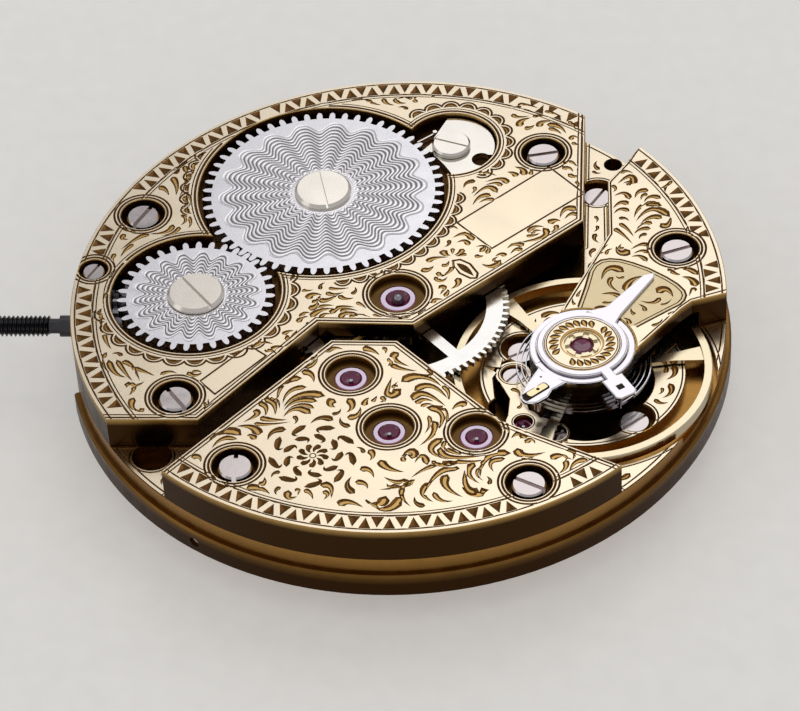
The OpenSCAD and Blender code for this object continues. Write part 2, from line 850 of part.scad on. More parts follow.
module crown_screw() {
    color("#efe6d2")
        at(crown_at, ratchet_z + ratchet_t + 0.04)
            slotted_screw(big_head_r, 0.3, 0.4, 0.95, 0.2, -52);
}

cover_screw_at = [[-10.4, -3.4], [-14.3, -4.7]];
module setting_cover() {
    color("#d8d9dc")
        difference() {
            translate([0, 0, 0.02])
                linear_extrude(0.22)
                    intersection() {
                        works_plan();
                        polygon([[-15.8, -6.5], [-15.8, -1.6], [-12, -1.7], [-10.4, 1.2],
                            [-7.8, 1.2], [-6.6, -1.4], [-6.8, -3.2], [-11, -5.6]]);
                    }
            for (s = cover_screw_at) {
                at(s, -1)
                    cylinder(r = small_shank_r + 0.02, h = 3);
                at(s, -1)
                    cylinder(r = 0.56, h = 1.14);
            }
            for (p = [lever_at, yoke_at, first_at, second_at])
                at(p, -1)
                    cylinder(r = 0.42, h = 3);
        }
    color("#d8d9dc")
        for (s = cover_screw_at)
            at(s, 0.24)
                difference() {
                    cylinder(r = 0.6, h = dial_recess_d - 0.24);
                    translate([0, 0, -over])
                        cylinder(r = small_shank_r + 0.02, h = 1);
                }
}

module cover_screws() {
    color("#8e9096")
        for (s = cover_screw_at)
            at(s, 0.14)
                mirror([0, 0, 1])
                    slotted_screw(0.5, 0.12, small_shank_r, 1.28, 0.14, 30);
}

module yoke_spring() {
    foot = [-9.2, -4.2];
    blade_x = yoke_at.x + 0.75;
    color("#c8cad0")
        union() {
            at(foot, works_z)
                cylinder(r = 0.35, h = dial_recess_d - works_z);
            translate([blade_x, foot.y - 0.15, works_z])
                cube([foot.x - blade_x, 0.14, 0.2]);
        }
}

module dial_screws() {
    color("#8e9096")
        for (p = foot_holes)
            dial_screw_axis(p)
                translate([0, 0, foot_hole_r + 0.02])
                    cylinder(r = 0.28, h = 0.5);
}

module barrel_drum() {
    drum_r = barrel_tip_r - 0.75;
    color("#d9b060")
        difference() {
            union() {
                at(barrel_at, barrel_z)
                    cylinder(r = drum_r, h = barrel_top_z - barrel_z);
                at(barrel_at, barrel_teeth_z)
                    gear(barrel_teeth, barrel_mod, 1, 1.25, barrel_teeth_h, barrel_phase, 0.46);
            }
            at(barrel_at, barrel_z + 0.22)
                cylinder(r = drum_r - 0.35, h = 5);
            at(barrel_at, barrel_top_z - 0.2)
                cylinder(r = drum_r - 0.2, h = 5);
            at(barrel_at, 0)
                cylinder(r = 0.69, h = 5);
        }
}

module barrel_cover() {
    drum_r = barrel_tip_r - 0.75;
    color("#dcb56a")
        at(barrel_at, barrel_top_z - 0.2)
            tube(drum_r - 0.2, 0.69, 0.2);
}

// Points of a flat spiral, and the ribbon between its two sides
function spiral(r0, r1, turns, side, steps = 24) =
    [for (i = [0:turns * steps]) let (f = i / (turns * steps)) polar(r0 + (r1 - r0) * f + side, 360 * turns * f)];
module ribbon(r0, r1, turns, t, h) {
    inner = spiral(r0, r1, turns, -t / 2);
    outer = spiral(r0, r1, turns, t / 2);
    linear_extrude(h)
        polygon(concat(inner, [for (i = [len(outer) - 1:-1:0]) outer[i]]));
}

// Least gap from each point of a spiral's outer side to the next turn's inner side
function spiral_gap(r0, r1, turns, t) =
    min([for (i = [0:(turns - 1) * 24])
        norm(spiral(r0, r1, turns, -t / 2)[i + 24] - spiral(r0, r1, turns, t / 2)[i])]);

mainspring_turns = 8;
module mainspring() {
    r1 = barrel_tip_r - 0.75 - 0.35 - 0.12;
    color("#8fa0b4")
        at(barrel_at, barrel_z + 0.3)
            ribbon(1.6, r1, mainspring_turns, 0.15, barrel_top_z - 0.28 - barrel_z - 0.3);
    echo(mainspring_gap = spiral_gap(1.6, r1, mainspring_turns, 0.15));
}

module barrel_arbor() {
    hub_z = barrel_z + 0.25;
    color("#b8babf")
        at(barrel_at, 0)
            union() {
                translate([0, 0, 0.1])
                    cylinder(r = 0.65, h = ratchet_z - 0.1);
                translate([0, 0, hub_z])
                    cylinder(r = 1.45, h = barrel_top_z - 0.23 - hub_z);
                translate([-0.5, -0.5, ratchet_z - 0.1])
                    cube([1, 1, ratchet_t + 0.06]);
            }
}

module ratchet_wheel() {
    color("#d9d8e0")
        at(barrel_at, ratchet_z)
            difference() {
                gear(ratchet_teeth, wind_mod, 1, 1.15, ratchet_t, ratchet_phase, 0.44);
                translate([-0.5, -0.5, -over])
                    cube([1, 1, 1]);
            }
}

module ratchet_screw() {
    color("#f3eee2")
        at(barrel_at, ratchet_z + ratchet_t)
            slotted_screw(big_head_r + 0.03, 0.3, 0.4, 0.03, 0.14, -77);
}

module crown_wheel() {
    color("#d9d8e0")
        at(crown_at, ratchet_z)
            difference() {
                gear(crown_teeth, wind_mod, 1, 1.15, ratchet_t, crown_phase, 0.44);
                translate([0, 0, -over])
                    cylinder(r = 1.29, h = 1);
            }
}

// The winding pinion's axis is the stem's, and a tooth points straight up at the crown wheel
module winding_pinion() {
    color("#b8babf")
        translate([winding_x, 0, stem_z])
            rotate([0, 90, 0])
                difference() {
                    union() {
                        linear_extrude(winding_teeth_l)
                            polygon([for (i = [0:winding_teeth - 1])
                                let (a = 180 + i * 360 / winding_teeth, p = 360 / winding_teeth) each [
                                    polar(winding_r - 0.42, a - p * 0.24),
                                    polar(winding_r, a - p * 0.13),
                                    polar(winding_r, a + p * 0.13),
                                    polar(winding_r - 0.42, a + p * 0.24)]]);
                        cylinder(r = winding_r - 0.42, h = winding_l - 0.35);
                        for (i = [0:11])
                            rotate(i * 30)
                                translate([0.9, -0.1, winding_l - 0.4])
                                    cube([0.3, 0.2, 0.52]);
                    }
                    translate([0, 0, -over])
                        cylinder(r = stem_r + 0.02, h = winding_l + 2 * over);
                }
}

module stem() {
    square_w = 0.7;
    square_x = winding_x + winding_l - 0.2;
    color("#c9cace")
        difference() {
            union() {
                translate([-stem_reach, 0, stem_z])
                    rotate([0, 90, 0])
                        cylinder(r = stem_r, h = square_x + stem_reach);
                translate([square_x, -square_w / 2, stem_z - square_w / 2])
                    cube([sliding_l + 0.35, square_w, square_w]);
                translate([square_x, 0, stem_z])
                    rotate([0, 90, 0])
                        cylinder(r = 0.28, h = sliding_l + stem_travel + 1.45);
            }
            translate([groove_x - groove_w / 2, 0, stem_z])
                rotate([0, 90, 0])
                    tube(stem_r + 1, groove_r, groove_w);
            translate([-rim_r - 1.2, 0, stem_z])
                rotate([0, 90, 0])
                    tube(stem_r + 1, stem_r * 0.7, 0.6);
        }
}

module sliding_pinion() {
    color("#b8babf")
        translate([sliding_x, 0, stem_z])
            rotate([0, 90, 0])
                difference() {
                    union() {
                        translate([0, 0, 0.15])
                            cylinder(r = sliding_r, h = sliding_l - 0.45);
                        for (i = [0:11])
                            rotate(i * 30 + 15) {
                                translate([0.9, -0.1, -0.12])
                                    cube([0.3, 0.2, 0.4]);
                                translate([0.7, -0.13, sliding_l - 0.35])
                                    cube([sliding_r - 0.72, 0.26, 0.35]);
                            }
                    }
                    translate([0, 0, sliding_groove_x - sliding_x])
                        tube(sliding_r + 1, sliding_groove_r, sliding_groove_w);
                    translate([-0.38, -0.38, -over])
                        cube([0.76, 0.76, sliding_l + 2 * over]);
                }
}

module setting_lever() {
    color("#c4c6cb")
        union() {
            translate([0, 0, works_z])
                linear_extrude(works_t)
                    union() {
                        translate(lever_at)
                            circle(0.75);
                        polygon([lever_at + [-0.7, 0.1], [groove_x - 0.42, 0.15],
                            [groove_x + 0.28, 0.15], lever_at + [0.72, -0.1]]);
                    }
            translate([groove_x, 0, works_z])
                cylinder(r = 0.12, h = stem_z - groove_r - 0.04 - works_z);
            at(lever_at, works_z)
                cylinder(r = small_shank_r - 0.03, h = 0.9);
        }
}

module yoke() {
    gx = sliding_groove_x + sliding_groove_w / 2;
    color("#c4c6cb")
        union() {
            translate([0, 0, works_z])
                linear_extrude(works_t)
                    union() {
                        translate(yoke_at)
                            circle(0.7);
                        polygon([yoke_at + [-0.65, 0], [gx - 0.3, -0.9], [gx - 0.2, 0.2],
                            [gx + 0.2, 0.2], [gx + 0.4, -0.9], yoke_at + [0.66, 0]]);
                    }
            translate([gx - 0.16, -0.25, works_z])
                cube([0.32, 0.45, stem_z - sliding_groove_r - 0.04 - works_z]);
            at(yoke_at, works_z)
                cylinder(r = small_shank_r - 0.03, h = 0.9);
        }
}

// The beak's point lies inside the ratchet's tips, in the gap nearest to the click
beak_dir = 33;
beak_pitch = 360 / ratchet_teeth;
click_gap_dir = ratchet_phase + beak_pitch * (round((beak_dir - ratchet_phase) / beak_pitch - 0.5) + 0.5);
click_tip = barrel_at + polar(ratchet_r - 0.22, click_gap_dir) - click_at;
click_lift = 12;

// The click fills its sink, but for a notch and the side where it clears the ratchet wheel
module click() {
    color("#f2f2f4")
        at(click_at, ratchet_z)
            difference() {
                union() {
                    linear_extrude(0.4)
                        difference() {
                            circle(click_sink_r - 0.14);
                            polygon([[-5, 3], [-0.24, 2.6], [-1.02, 0.78], [-1.02, -0.5],
                                [-0.83, -1.19], [-0.53, -2.4], [-0.53, -5], [-5, -5]]);
                            for (a = [0, click_lift])
                                rotate(a)
                                    translate(barrel_at - click_at)
                                        circle(ratchet_r + 0.08);
                            translate([1.75, -1.1])
                                circle(0.55);
                            translate([1.9, -1.6])
                                square([2, 0.9]);
                        }
                    translate([0, 0, 0.12])
                        linear_extrude(0.18)
                            polygon([[-0.9, 0.75], click_tip + [0, 0.05], click_tip + [0.03, -0.05],
                                [-0.9, -0.35]]);
                }
                translate([0, 0, -over])
                    cylinder(r = small_shank_r + 0.04, h = 1);
            }
}

module centre_wheel() {
    color("#e9e7ea")
        translate([0, 0, centre_wheel_z])
            difference() {
                spoked_wheel(train_teeth[0], train_mod[0], centre_wheel_t, 4.85, 1.3, 4, 0.7, 0, -49);
                translate([0, 0, -over])
                    cylinder(r = 0.8, h = 1);
            }
}

module centre_arbor() {
    pinion_z = barrel_teeth_z - 0.1;
    color("#b8babf")
        union() {
            translate([0, 0, dial_recess_d - 0.02])
                cylinder(r = cannon_bore_r, h = 3);
            translate([0, 0, dial_recess_d + 0.5])
                cylinder(r = 0.6, h = jewel_top_z - jewel_h - 0.06 - dial_recess_d - 0.5);
            translate([0, 0, pinion_z])
                leaves(centre_leaves, barrel_mod, barrel_teeth_h + 0.2, 0);
            translate([0, 0, pinion_z])
                cylinder(r = 0.8, h = centre_wheel_z + centre_wheel_t - pinion_z);
            translate([0, 0, 3])
                cylinder(r = 0.3, h = jewel_top_z - 3 - 0.05);
            translate([0, 0, jewel_top_z - 0.05])
                intersection() {
                    sphere(r = 0.3);
                    cylinder(r = 1, h = 1);
                }
            translate([0, 0, cannon_z + 0.2])
                cylinder(r = cannon_bore_r, h = 2.9);
        }
}

module cannon_pinion() {
    color("#b8babf")
        difference() {
            union() {
                translate([0, 0, cannon_z])
                    cylinder(r = cannon_r - 0.16, h = 1);
                translate([0, 0, cannon_z + 0.65])
                    cylinder(r = cannon_r, h = 0.34 - cannon_z - 0.65);
                translate([0, 0, 0.3])
                    cylinder(r = cannon_r - 0.1, h = 0.3);
                translate([0, 0, 0.33])
                    leaves(cannon_leaves, hands_mod, 0.27, 0);
            }
            translate([0, 0, cannon_z + 0.2])
                cylinder(r = cannon_bore_r, h = 4);
        }
}

module third_wheel() {
    color("#d8b061")
        at(third_at, third_wheel_z)
            difference() {
                spoked_wheel(train_teeth[1], train_mod[1], wheel_t, 3.35, 1, 5, 0.42,
                    mesh(train_dir[1], train_leaves[1], train_teeth[1], 0), 20);
                translate([0, 0, -over])
                    cylinder(r = 0.5, h = 1);
            }
}

module third_arbor() {
    color("#b8babf")
        train_arbor(third_at, third_wheel_z, train_leaves[0], train_mod[0], 3.0, 0.53,
            third_phase, 0.5, low_jewel_z + 0.03, pivot_r);
}

// Draws an arbor with its pinion, a hub for its wheel and two pivots
module train_arbor(p, wheel_z, n, m, pinion_z, pinion_h, phase, hub_r, low_z, low_r) {
    union() {
        at(p, low_jewel_z + jewel_h + 0.03)
            cylinder(r = arbor_r, h = jewel_top_z - jewel_h - low_jewel_z - jewel_h - 0.06);
        at(p, low_z)
            cylinder(r = low_r, h = low_jewel_z + jewel_h + 0.2 - low_z);
        at(p, 3)
            cylinder(r = pivot_r, h = jewel_top_z - 0.12 - 3);
        at(p, pinion_z)
            leaves(n, m, pinion_h, phase);
        at(p, wheel_z)
            cylinder(r = hub_r, h = wheel_t);
    }
}

module fourth_wheel() {
    color("#d8b061")
        at(fourth_at, fourth_wheel_z)
            difference() {
                spoked_wheel(train_teeth[2], train_mod[2], 0.2, 3.5, 0.9, 5, 0.4,
                    mesh(train_dir[2], train_leaves[2], train_teeth[2], 0), 0);
                translate([0, 0, -over])
                    cylinder(r = 0.5, h = 1);
            }
}

module fourth_arbor() {
    color("#b8babf")
        train_arbor(fourth_at, fourth_wheel_z, train_leaves[1], train_mod[1], 1.3, 0.48,
            fourth_phase, 0.5, seconds_z, seconds_r);
}

module escape_wheel() {
    tooth = 360 / train_teeth[3];
    color("#c9cbd2")
        at(escape_at, escape_wheel_z)
            linear_extrude(wheel_t)
                difference() {
                    polygon([for (i = [0:train_teeth[3] - 1]) let (a = escape_wheel_phase + i * tooth) each [
                        polar(escape_r - 0.62, a - tooth * 0.5),
                        polar(escape_r - 0.5, a - tooth * 0.16),
                        polar(escape_r - 0.16, a - tooth * 0.12),
                        polar(escape_r, a - tooth * 0.02),
                        polar(escape_r, a + tooth * 0.02),
                        polar(escape_r - 0.55, a + tooth * 0.04)]]);
                    difference() {
                        circle(escape_r - 0.95);
                        circle(0.8);
                        for (i = [0:3])
                            rotate(45 + i * 90)
                                translate([0, -0.16])
                                    square([escape_r, 0.32]);
                    }
                    circle(0.42);
                }
}

module escape_arbor() {
    color("#b8babf")
        train_arbor(escape_at, escape_wheel_z, train_leaves[2], train_mod[2], 1.95, 0.5,
            escape_phase, 0.42, low_jewel_z + 0.03, pivot_r);
}

// The pallets span two and a half teeth, thirty degrees to each side of the line of centres
pallet_half = 30;
entry_at = escape_at + polar(escape_r, escape_dir + pallet_half);
exit_at = escape_at + polar(escape_r, escape_dir - pallet_half);
escape_wheel_phase = escape_dir + pallet_half + 6;

module pallet_fork() {
    fork_z = escape_wheel_z;
    notch_r = fork_dist - 1.5;
    color("#c9cbd2")
        difference() {
            at(pallet_at, fork_z)
                linear_extrude(0.2)
                    union() {
                        circle(0.55);
                        rotate(escape_dir) {
                            translate([0, -0.16])
                                square([notch_r - 0.1, 0.32]);
                            translate([notch_r - 0.25, -0.5])
                                square([0.55, 1]);
                        }
                        fork_arm(entry_at - pallet_at);
                        fork_arm(exit_at - pallet_at);
                    }
            at(pallet_at, fork_z - over)
                linear_extrude(1) {
                    rotate(escape_dir)
                        translate([notch_r - 0.05, -0.24])
                            square([1, 0.48]);
                    circle(arbor_r);
                }
            at(pallet_at, fork_z - over)
                linear_extrude(1)
                    stone_plan(0.005);
        }
}

// One arm of the fork, from the arbor to its stone
module fork_arm(v) {
    rotate(atan2(v.y, v.x))
        translate([0, -0.17])
            square([norm(v) - 0.1, 0.34]);
}

// Outlines of the two stones, seen from the pallets' axis
module stone_plan(grow) {
    for (v = [entry_at - pallet_at, exit_at - pallet_at])
        rotate(atan2(v.y, v.x))
            translate([norm(v) - 0.3 - grow, -0.11 - grow])
                square([0.42 + 2 * grow, 0.22 + 2 * grow]);
}

module pallet_stones() {
    color("#b02050")
        at(pallet_at, escape_wheel_z - 0.06)
            linear_extrude(0.34)
                stone_plan(0.005);
}

module pallet_arbor() {
    low = low_jewel_z + 0.3;
    high = 1.78 + 0.64 - 0.52;
    color("#b8babf")
        union() {
            at(pallet_at, low + 0.03)
                cylinder(r = arbor_r, h = high - low - 0.06);
            at(pallet_at, low - 0.2)
                cylinder(r = pivot_r * 0.8, h = high - low + 0.4);
        }
}

module balance_wheel() {
    inner_r = balance_r - balance_rim_w;
    color("#e4dcc8")
        difference() {
            union() {
                at(balance_at, balance_z)
                    rotate_extrude()
                        polygon([[inner_r, 0], [balance_r - 0.05, 0], [balance_r, 0.05],
                            [balance_r, balance_rim_h - 0.05], [balance_r - 0.05, balance_rim_h],
                            [inner_r, balance_rim_h]]);
                at(balance_at, arm_z)
                    linear_extrude(arm_t)
                        union() {
                            circle(1);
                            for (a = [10, 130, 250])
                                rotate(a)
                                    polygon([[0, -0.26], [inner_r - 1.6, -0.3], [inner_r + 0.1, -0.55],
                                        [inner_r + 0.1, 0.55], [inner_r - 1.6, 0.3], [0, 0.26]]);
                        }
            }
            at(balance_at, 0)
                cylinder(r = 0.4, h = 10);
        }
}

module balance_staff() {
    color("#b8babf")
        at(balance_at, 0)
            rotate_extrude()
                polygon([[0, 0.78], [0.07, 0.78], [0.07, 0.98], [0.22, 1.15], [0.22, arm_z - 0.3],
                    [0.6, arm_z - 0.25], [0.6, arm_z], [0.4, arm_z], [0.4, arm_z + arm_t],
                    [0.3, arm_z + arm_t + 0.06], [0.3, 3.55], [0.07, 4.06], [0.07, 4.24], [0, 4.24]]);
}

module roller() {
    color("#c9cbd2")
        at(balance_at, 0)
            difference() {
                union() {
                    translate([0, 0, 1.68])
                        cylinder(r = 1.75, h = 0.2);
                    translate([0, 0, 1.3])
                        cylinder(r = 0.8, h = 0.5);
                }
                cylinder(r = 0.22, h = 3);
                rotate(escape_dir + 180)
                    translate([1.5, 0, 0])
                        cylinder(r = 0.12, h = 3);
                rotate(escape_dir + 180)
                    translate([0.95, 0, 0])
                        cylinder(r = 0.3, h = 1.68);
            }
}

module impulse_jewel() {
    color("#b02050")
        at(balance_at, 1.36)
            rotate(escape_dir + 180)
                translate([1.5, 0, 0])
                    cylinder(r = 0.12, h = 0.52);
}

module collet() {
    color("#c9a45c")
        at(balance_at, spring_z - 0.05)
            tube(collet_r, 0.3, 0.32);
}

// The hairspring's outer end meets the stud and its inner end meets the collet
spring_in_r = collet_r + spring_t / 2 + 0.01;
module hairspring() {
    color("#b9bcc6")
        at(balance_at, spring_z)
            rotate(stud_dir)
                mirror([0, 1, 0])
                    ribbon(spring_in_r, spring_r, spring_turns, spring_t, spring_h);
    echo(hairspring_gap = spiral_gap(spring_in_r, spring_r, spring_turns, spring_t));
}

// Radius of the spring where it passes between the regulator's pins
curb_r = spring_r - (spring_r - spring_in_r) / spring_turns * (curb_dir - stud_dir) / 360;

module stud() {
    color("#d6d7dc")
        at(balance_at + polar(stud_r, stud_dir), spring_z - 0.05)
            cylinder(r = stud_r - spring_r - spring_t / 2, h = top_z + 0.14 - spring_z);
}

module stud_carrier() {
    hole_r = stud_r - spring_r - spring_t / 2;
    color("#e6e6ea")
        at(balance_at, ring_z)
            difference() {
                union() {
                    linear_extrude(top_z - ring_z)
                        difference() {
                            circle(outer_ring_r);
                            circle(inner_ring_r + 0.03);
                        }
                    linear_extrude(top_z - ring_z)
                        rotate(stud_dir)
                            difference() {
                                union() {
                                    polygon([[2.6, -0.95], [2.6, 0.95], [3.6, 0.62], [4.2, 0.75],
                                        [4.85, 0.55], [4.9, -0.5], [4.2, -0.7]]);
                                    translate([4.7, 0])
                                        circle(0.52);
                                }
                                translate([4.42, -1])
                                    square([0.1, 1.35]);
                            }
                }
                rotate(stud_dir)
                    translate([stud_r, 0, -over])
                        cylinder(r = hole_r, h = 1);
            }
}

// The regulator turns on the boss; its pointer and its curb pass over the stud carrier
module regulator() {
    color("#ececf0")
        at(balance_at, 0)
            union() {
                translate([0, 0, ring_z])
                    tube(inner_ring_r, boss_r + 0.02, pointer_z + pointer_t - ring_z);
                translate([0, 0, pointer_z])
                    linear_extrude(pointer_t)
                        union() {
                            rotate(pointer_dir)
                                polygon([[2.2, -0.62], [2.2, 1.25], [3.1, 0.55], [pointer_len - 0.5, 0.3],
                                    [pointer_len, -0.1], [pointer_len - 0.3, -0.3], [3.1, -0.45]]);
                            rotate(curb_dir)
                                polygon([[2.2, -0.3], [2.2, 0.3], [3.05, 0.3], [3.05, 0.62], [4.5, 0.62],
                                    [4.7, 0.42], [4.7, -0.42], [4.5, -0.62], [3.05, -0.62], [3.05, -0.3]]);
                        }
                rotate(curb_dir)
                    for (s = [-1, 1])
                        translate([curb_r + s * (spring_t / 2 + 0.12), 0, spring_z])
                            cylinder(r = 0.08, h = pointer_z + 0.01 - spring_z);
            }
}

module hour_wheel() {
    color("#d9b060")
        difference() {
            union() {
                translate([0, 0, hour_wheel_z])
                    gear(hour_teeth, hour_mod, 1.1, 1.1, hour_wheel_t, hour_phase, 0.46);
                translate([0, 0, hour_tube_z])
                    cylinder(r = hour_tube_r, h = hour_wheel_z - hour_tube_z + 0.1);
            }
            translate([0, 0, -5])
                cylinder(r = cannon_r + 0.04, h = 10);
        }
}

module minute_wheel() {
    color("#d9b060")
        at(minute_at, 0)
            union() {
                translate([0, 0, minute_wheel_z])
                    gear(minute_teeth, hands_mod, 1.1, 1.1, minute_wheel_t, minute_phase, 0.46);
                translate([0, 0, 0.06])
                    leaves(minute_leaves, hour_mod, 0.4, minute_phase);
                translate([0, 0, 0.4])
                    cylinder(r = 0.23, h = dial_recess_d + plate_web * 0.6 - 0.42);
            }
}

// Draws one of the two setting wheels, turning on a pin in the plate
module setting_wheel(p, phase) {
    color("#c9cbd2")
        at(p, 0)
            union() {
                translate([0, 0, 0.33])
                    gear(setting_teeth, hands_mod, 0.9, 1.2, 0.24, phase, 0.42);
                translate([0, 0, 0.1])
                    cylinder(r = 0.38, h = 0.3);
                translate([0, 0, 0.4])
                    cylinder(r = 0.23, h = dial_recess_d + plate_web * 0.6 - 0.42);
            }
}

module first_setting_wheel() {
    setting_wheel(first_at, first_phase);
}

module second_setting_wheel() {
    setting_wheel(second_at, second_phase);
}

main_plate();
barrel_bridge();
train_bridge();
balance_cock();
pallet_bridge();
bridge_screws();
small_screws();
upper_train_jewels();
lower_train_jewels();
centre_jewels();
pallet_jewels();
shock_settings();
balance_hole_jewels();
cap_jewels();
click_screw();
click_spring();
crown_core();
crown_screw();
setting_cover();
cover_screws();
yoke_spring();
dial_screws();
barrel_drum();
barrel_cover();
mainspring();
barrel_arbor();
ratchet_wheel();
ratchet_screw();
crown_wheel();
winding_pinion();
stem();
sliding_pinion();
setting_lever();
yoke();
click();
centre_wheel();
centre_arbor();
cannon_pinion();
third_wheel();
third_arbor();
fourth_wheel();
fourth_arbor();
escape_wheel();
escape_arbor();
pallet_fork();
pallet_arbor();
pallet_stones();
balance_wheel();
balance_staff();
roller();
impulse_jewel();
collet();
hairspring();
stud();
stud_carrier();
regulator();
hour_wheel();
minute_wheel();
first_setting_wheel();
second_setting_wheel();
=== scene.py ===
"""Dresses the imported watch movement: engraved bridges, turned wheels, jewels, screws and the studio round them."""

import math
import random

import bpy
import numpy as np
from bpy.props import FloatProperty, FloatVectorProperty, IntProperty, PointerProperty
from bpy.types import Operator, Panel, PropertyGroup
from mathutils import Matrix, Vector
from mathutils.geometry import delaunay_2d_cdt


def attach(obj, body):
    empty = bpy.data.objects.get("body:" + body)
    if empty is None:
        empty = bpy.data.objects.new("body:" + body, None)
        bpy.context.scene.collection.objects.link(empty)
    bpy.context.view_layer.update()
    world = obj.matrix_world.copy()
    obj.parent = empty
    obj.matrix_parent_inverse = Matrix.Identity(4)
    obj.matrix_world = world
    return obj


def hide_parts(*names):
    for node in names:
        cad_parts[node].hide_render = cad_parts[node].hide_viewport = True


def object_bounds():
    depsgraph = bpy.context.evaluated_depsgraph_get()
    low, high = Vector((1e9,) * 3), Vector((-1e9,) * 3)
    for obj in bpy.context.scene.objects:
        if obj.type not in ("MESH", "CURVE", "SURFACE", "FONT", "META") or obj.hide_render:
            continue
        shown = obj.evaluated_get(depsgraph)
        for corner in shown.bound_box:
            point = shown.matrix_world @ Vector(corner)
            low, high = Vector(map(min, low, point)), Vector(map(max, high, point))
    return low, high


bl_info = {
    "name": "Watch Movement Dress",
    "version": (1, 0, 0),
    "blender": (4, 5, 0),
    "location": "3D Viewport > Sidebar > Movement",
    "description": "Engraving, guilloche, jewels and finishes for a packed watch movement",
    "category": "Object",
}

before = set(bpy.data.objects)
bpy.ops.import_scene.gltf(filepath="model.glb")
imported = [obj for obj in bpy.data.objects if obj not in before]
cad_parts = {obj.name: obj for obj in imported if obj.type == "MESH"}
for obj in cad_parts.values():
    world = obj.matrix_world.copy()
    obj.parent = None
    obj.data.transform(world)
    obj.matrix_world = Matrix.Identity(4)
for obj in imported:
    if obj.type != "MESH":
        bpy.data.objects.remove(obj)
CAD_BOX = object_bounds()

MM = 0.001
# The ornament was drawn on a plan of 36.6 mm bridges, and the bridges are 36.0 mm
DRAWN = 0.9836
# The graver opens each drawn stroke by this much
CUT_WIDTH = 1.65
# Depths of the cuts in mm, from the finest line to the broadest leaf
HAIRLINE, LINE, GROOVE, COLLAR, SCROLL, LEAF, BROAD_LEAF = 0.03, 0.035, 0.04, 0.045, 0.05, 0.06, 0.07

BARREL = (-4.6145, 8.5344)
CROWN = (-11.1314, 0.0)
CLICK = (2.5, 12.5)
CENTRE = (0.0, 0.0)
THIRD = (-2.2451, -6.2702)
FOURTH = (0.0067, -10.2992)
ESCAPE = (4.6488, -10.6482)
PALLETS = (7.0225, -7.8492)
BALANCE = (10.1594, -4.1503)

BRIDGE_TOP = 4.5
BRIDGE_EDGE = 18.0

BARREL_BRIDGE_PLAN = [(10.12, 20), (-20, 20), (-20, -9.8), (-10.2, -9.8), (-4.22, -2.32), (1, -2.46), (10.12, 5.9)]
TRAIN_BRIDGE_PLAN = [(-3.44, -3.69), (-12.96, -14.94), (-17, -20), (14, -20), (14, -13.99), (6, -9.84), (0.15, -3.74)]
COCK_PLAN = [
    (13.4, 12.4), (12.54, 10.85), (11.46, 9.15), (11.55, 4.8), (8.75, -1.9), (10.15, -4.15), (12.6, -5.3),
    (13.25, -4.15), (15.5, -1.25), (16.1, -0.65), (20, 0.7), (20, 14),
]
COCK_PANEL = [
    (9.84, -1.38), (10.28, 0.49), (10.52, 1.77), (10.72, 2.26), (11.11, 2.63), (11.61, 2.75), (12.2, 2.68),
    (12.89, 2.41), (13.77, 1.95), (14.75, 1.23), (15.34, 0.69), (15.69, 0.2), (15.79, -0.2), (15.69, -0.59),
    (15.44, -0.93), (14.75, -1.43), (13.97, -2.02), (13.08, -2.7),
]
CARTOUCHES = [
    [(8.11, 10.43), (10.13, 8.16), (5.07, 3.6), (3.07, 5.73)],
    [(-7.87, -4.13), (-6.89, -4.92), (-9.44, -7.87), (-10.33, -6.89)],
]
LEAF_OUTLINE = [(2.95, 2.6), (3.35, 2.7), (3.9, 2.35), (4.35, 1.6), (4.3, 1.2), (3.95, 1.2), (3.35, 1.6), (3.0, 2.15)]

# Round openings: where they are and their radii
BRIDGE_SCREW = 1.25
SCREW_SINKS = [(at, BRIDGE_SCREW) for at in ((-11.56, -8.03), (-14.67, 6.51), (7.77, 11.68))]
WHEEL_RECESSES = [(BARREL, 7.084), (CROWN, 4.726), (CLICK, 2.62)]
SMALL_SINKS = [(CENTRE, 1.54), ((-17.0, 1.95), 0.82)]
BARREL_BRIDGE_OPENINGS = WHEEL_RECESSES + SMALL_SINKS + SCREW_SINKS
TRAIN_BRIDGE_OPENINGS = [((7.5, -14.3), BRIDGE_SCREW), ((-7.97, -13.1), BRIDGE_SCREW)] + [
    (at, 1.35) for at in (THIRD, FOURTH, ESCAPE)
]
COCK_OPENINGS = [((15.3, 3.6), BRIDGE_SCREW), (BALANCE, 2.95)]

# The pallet bridge: three discs joined by two limbs
PALLET_BRIDGE_DISCS = [((6.4, -4.2), 0.98), (PALLETS, 0.95), ((8.75, -8.65), 0.78)]
PALLET_BRIDGE_LIMBS = [
    [(5.65, -4.8), (6.25, -6.1), (6.17, -7.55), (7.32, -6.97), (7.15, -6.2), (7.25, -4.6)],
    [(6.92, -8.75), (7.77, -7.4), (9.2, -8.1), (8.4, -9.25)],
]
PALLET_BRIDGE_OPENINGS = [((6.4, -4.2), 0.7), (PALLETS, 0.5), ((8.75, -8.65), 0.6)]

# The fourth sink is a small hole, with no ring round it
PLATE_SINKS = [
    ((13.0, -7.57), 1.1), ((6.8, -2.25), 1.1), ((10.85, 10.45), 1.1), ((11.72, 12.85), 0.5), ((-12.75, -10.55), 1.05),
]
PLATE_WELLS = [
    (BARREL, 8.398), (CENTRE, 2.4), (THIRD, 4.46), (FOURTH, 4.565), (ESCAPE, 3.43), (PALLETS, 2.3), (BALANCE, 3.2),
    ((11.16, -4.75), 2.9), ((10.36, -6.55), 2.8),
]
WHEEL_WELL = [(-1, -1), (10.15, 8.6), (10.15, -4), (4, -6)]
PALLET_WELL = [(5.52, -6.85), (5.3, -4.6), (5.9, -3.4), (8.6, -3.6), (10, -8), (8.6, -9.9), (7.02, -9.85)]

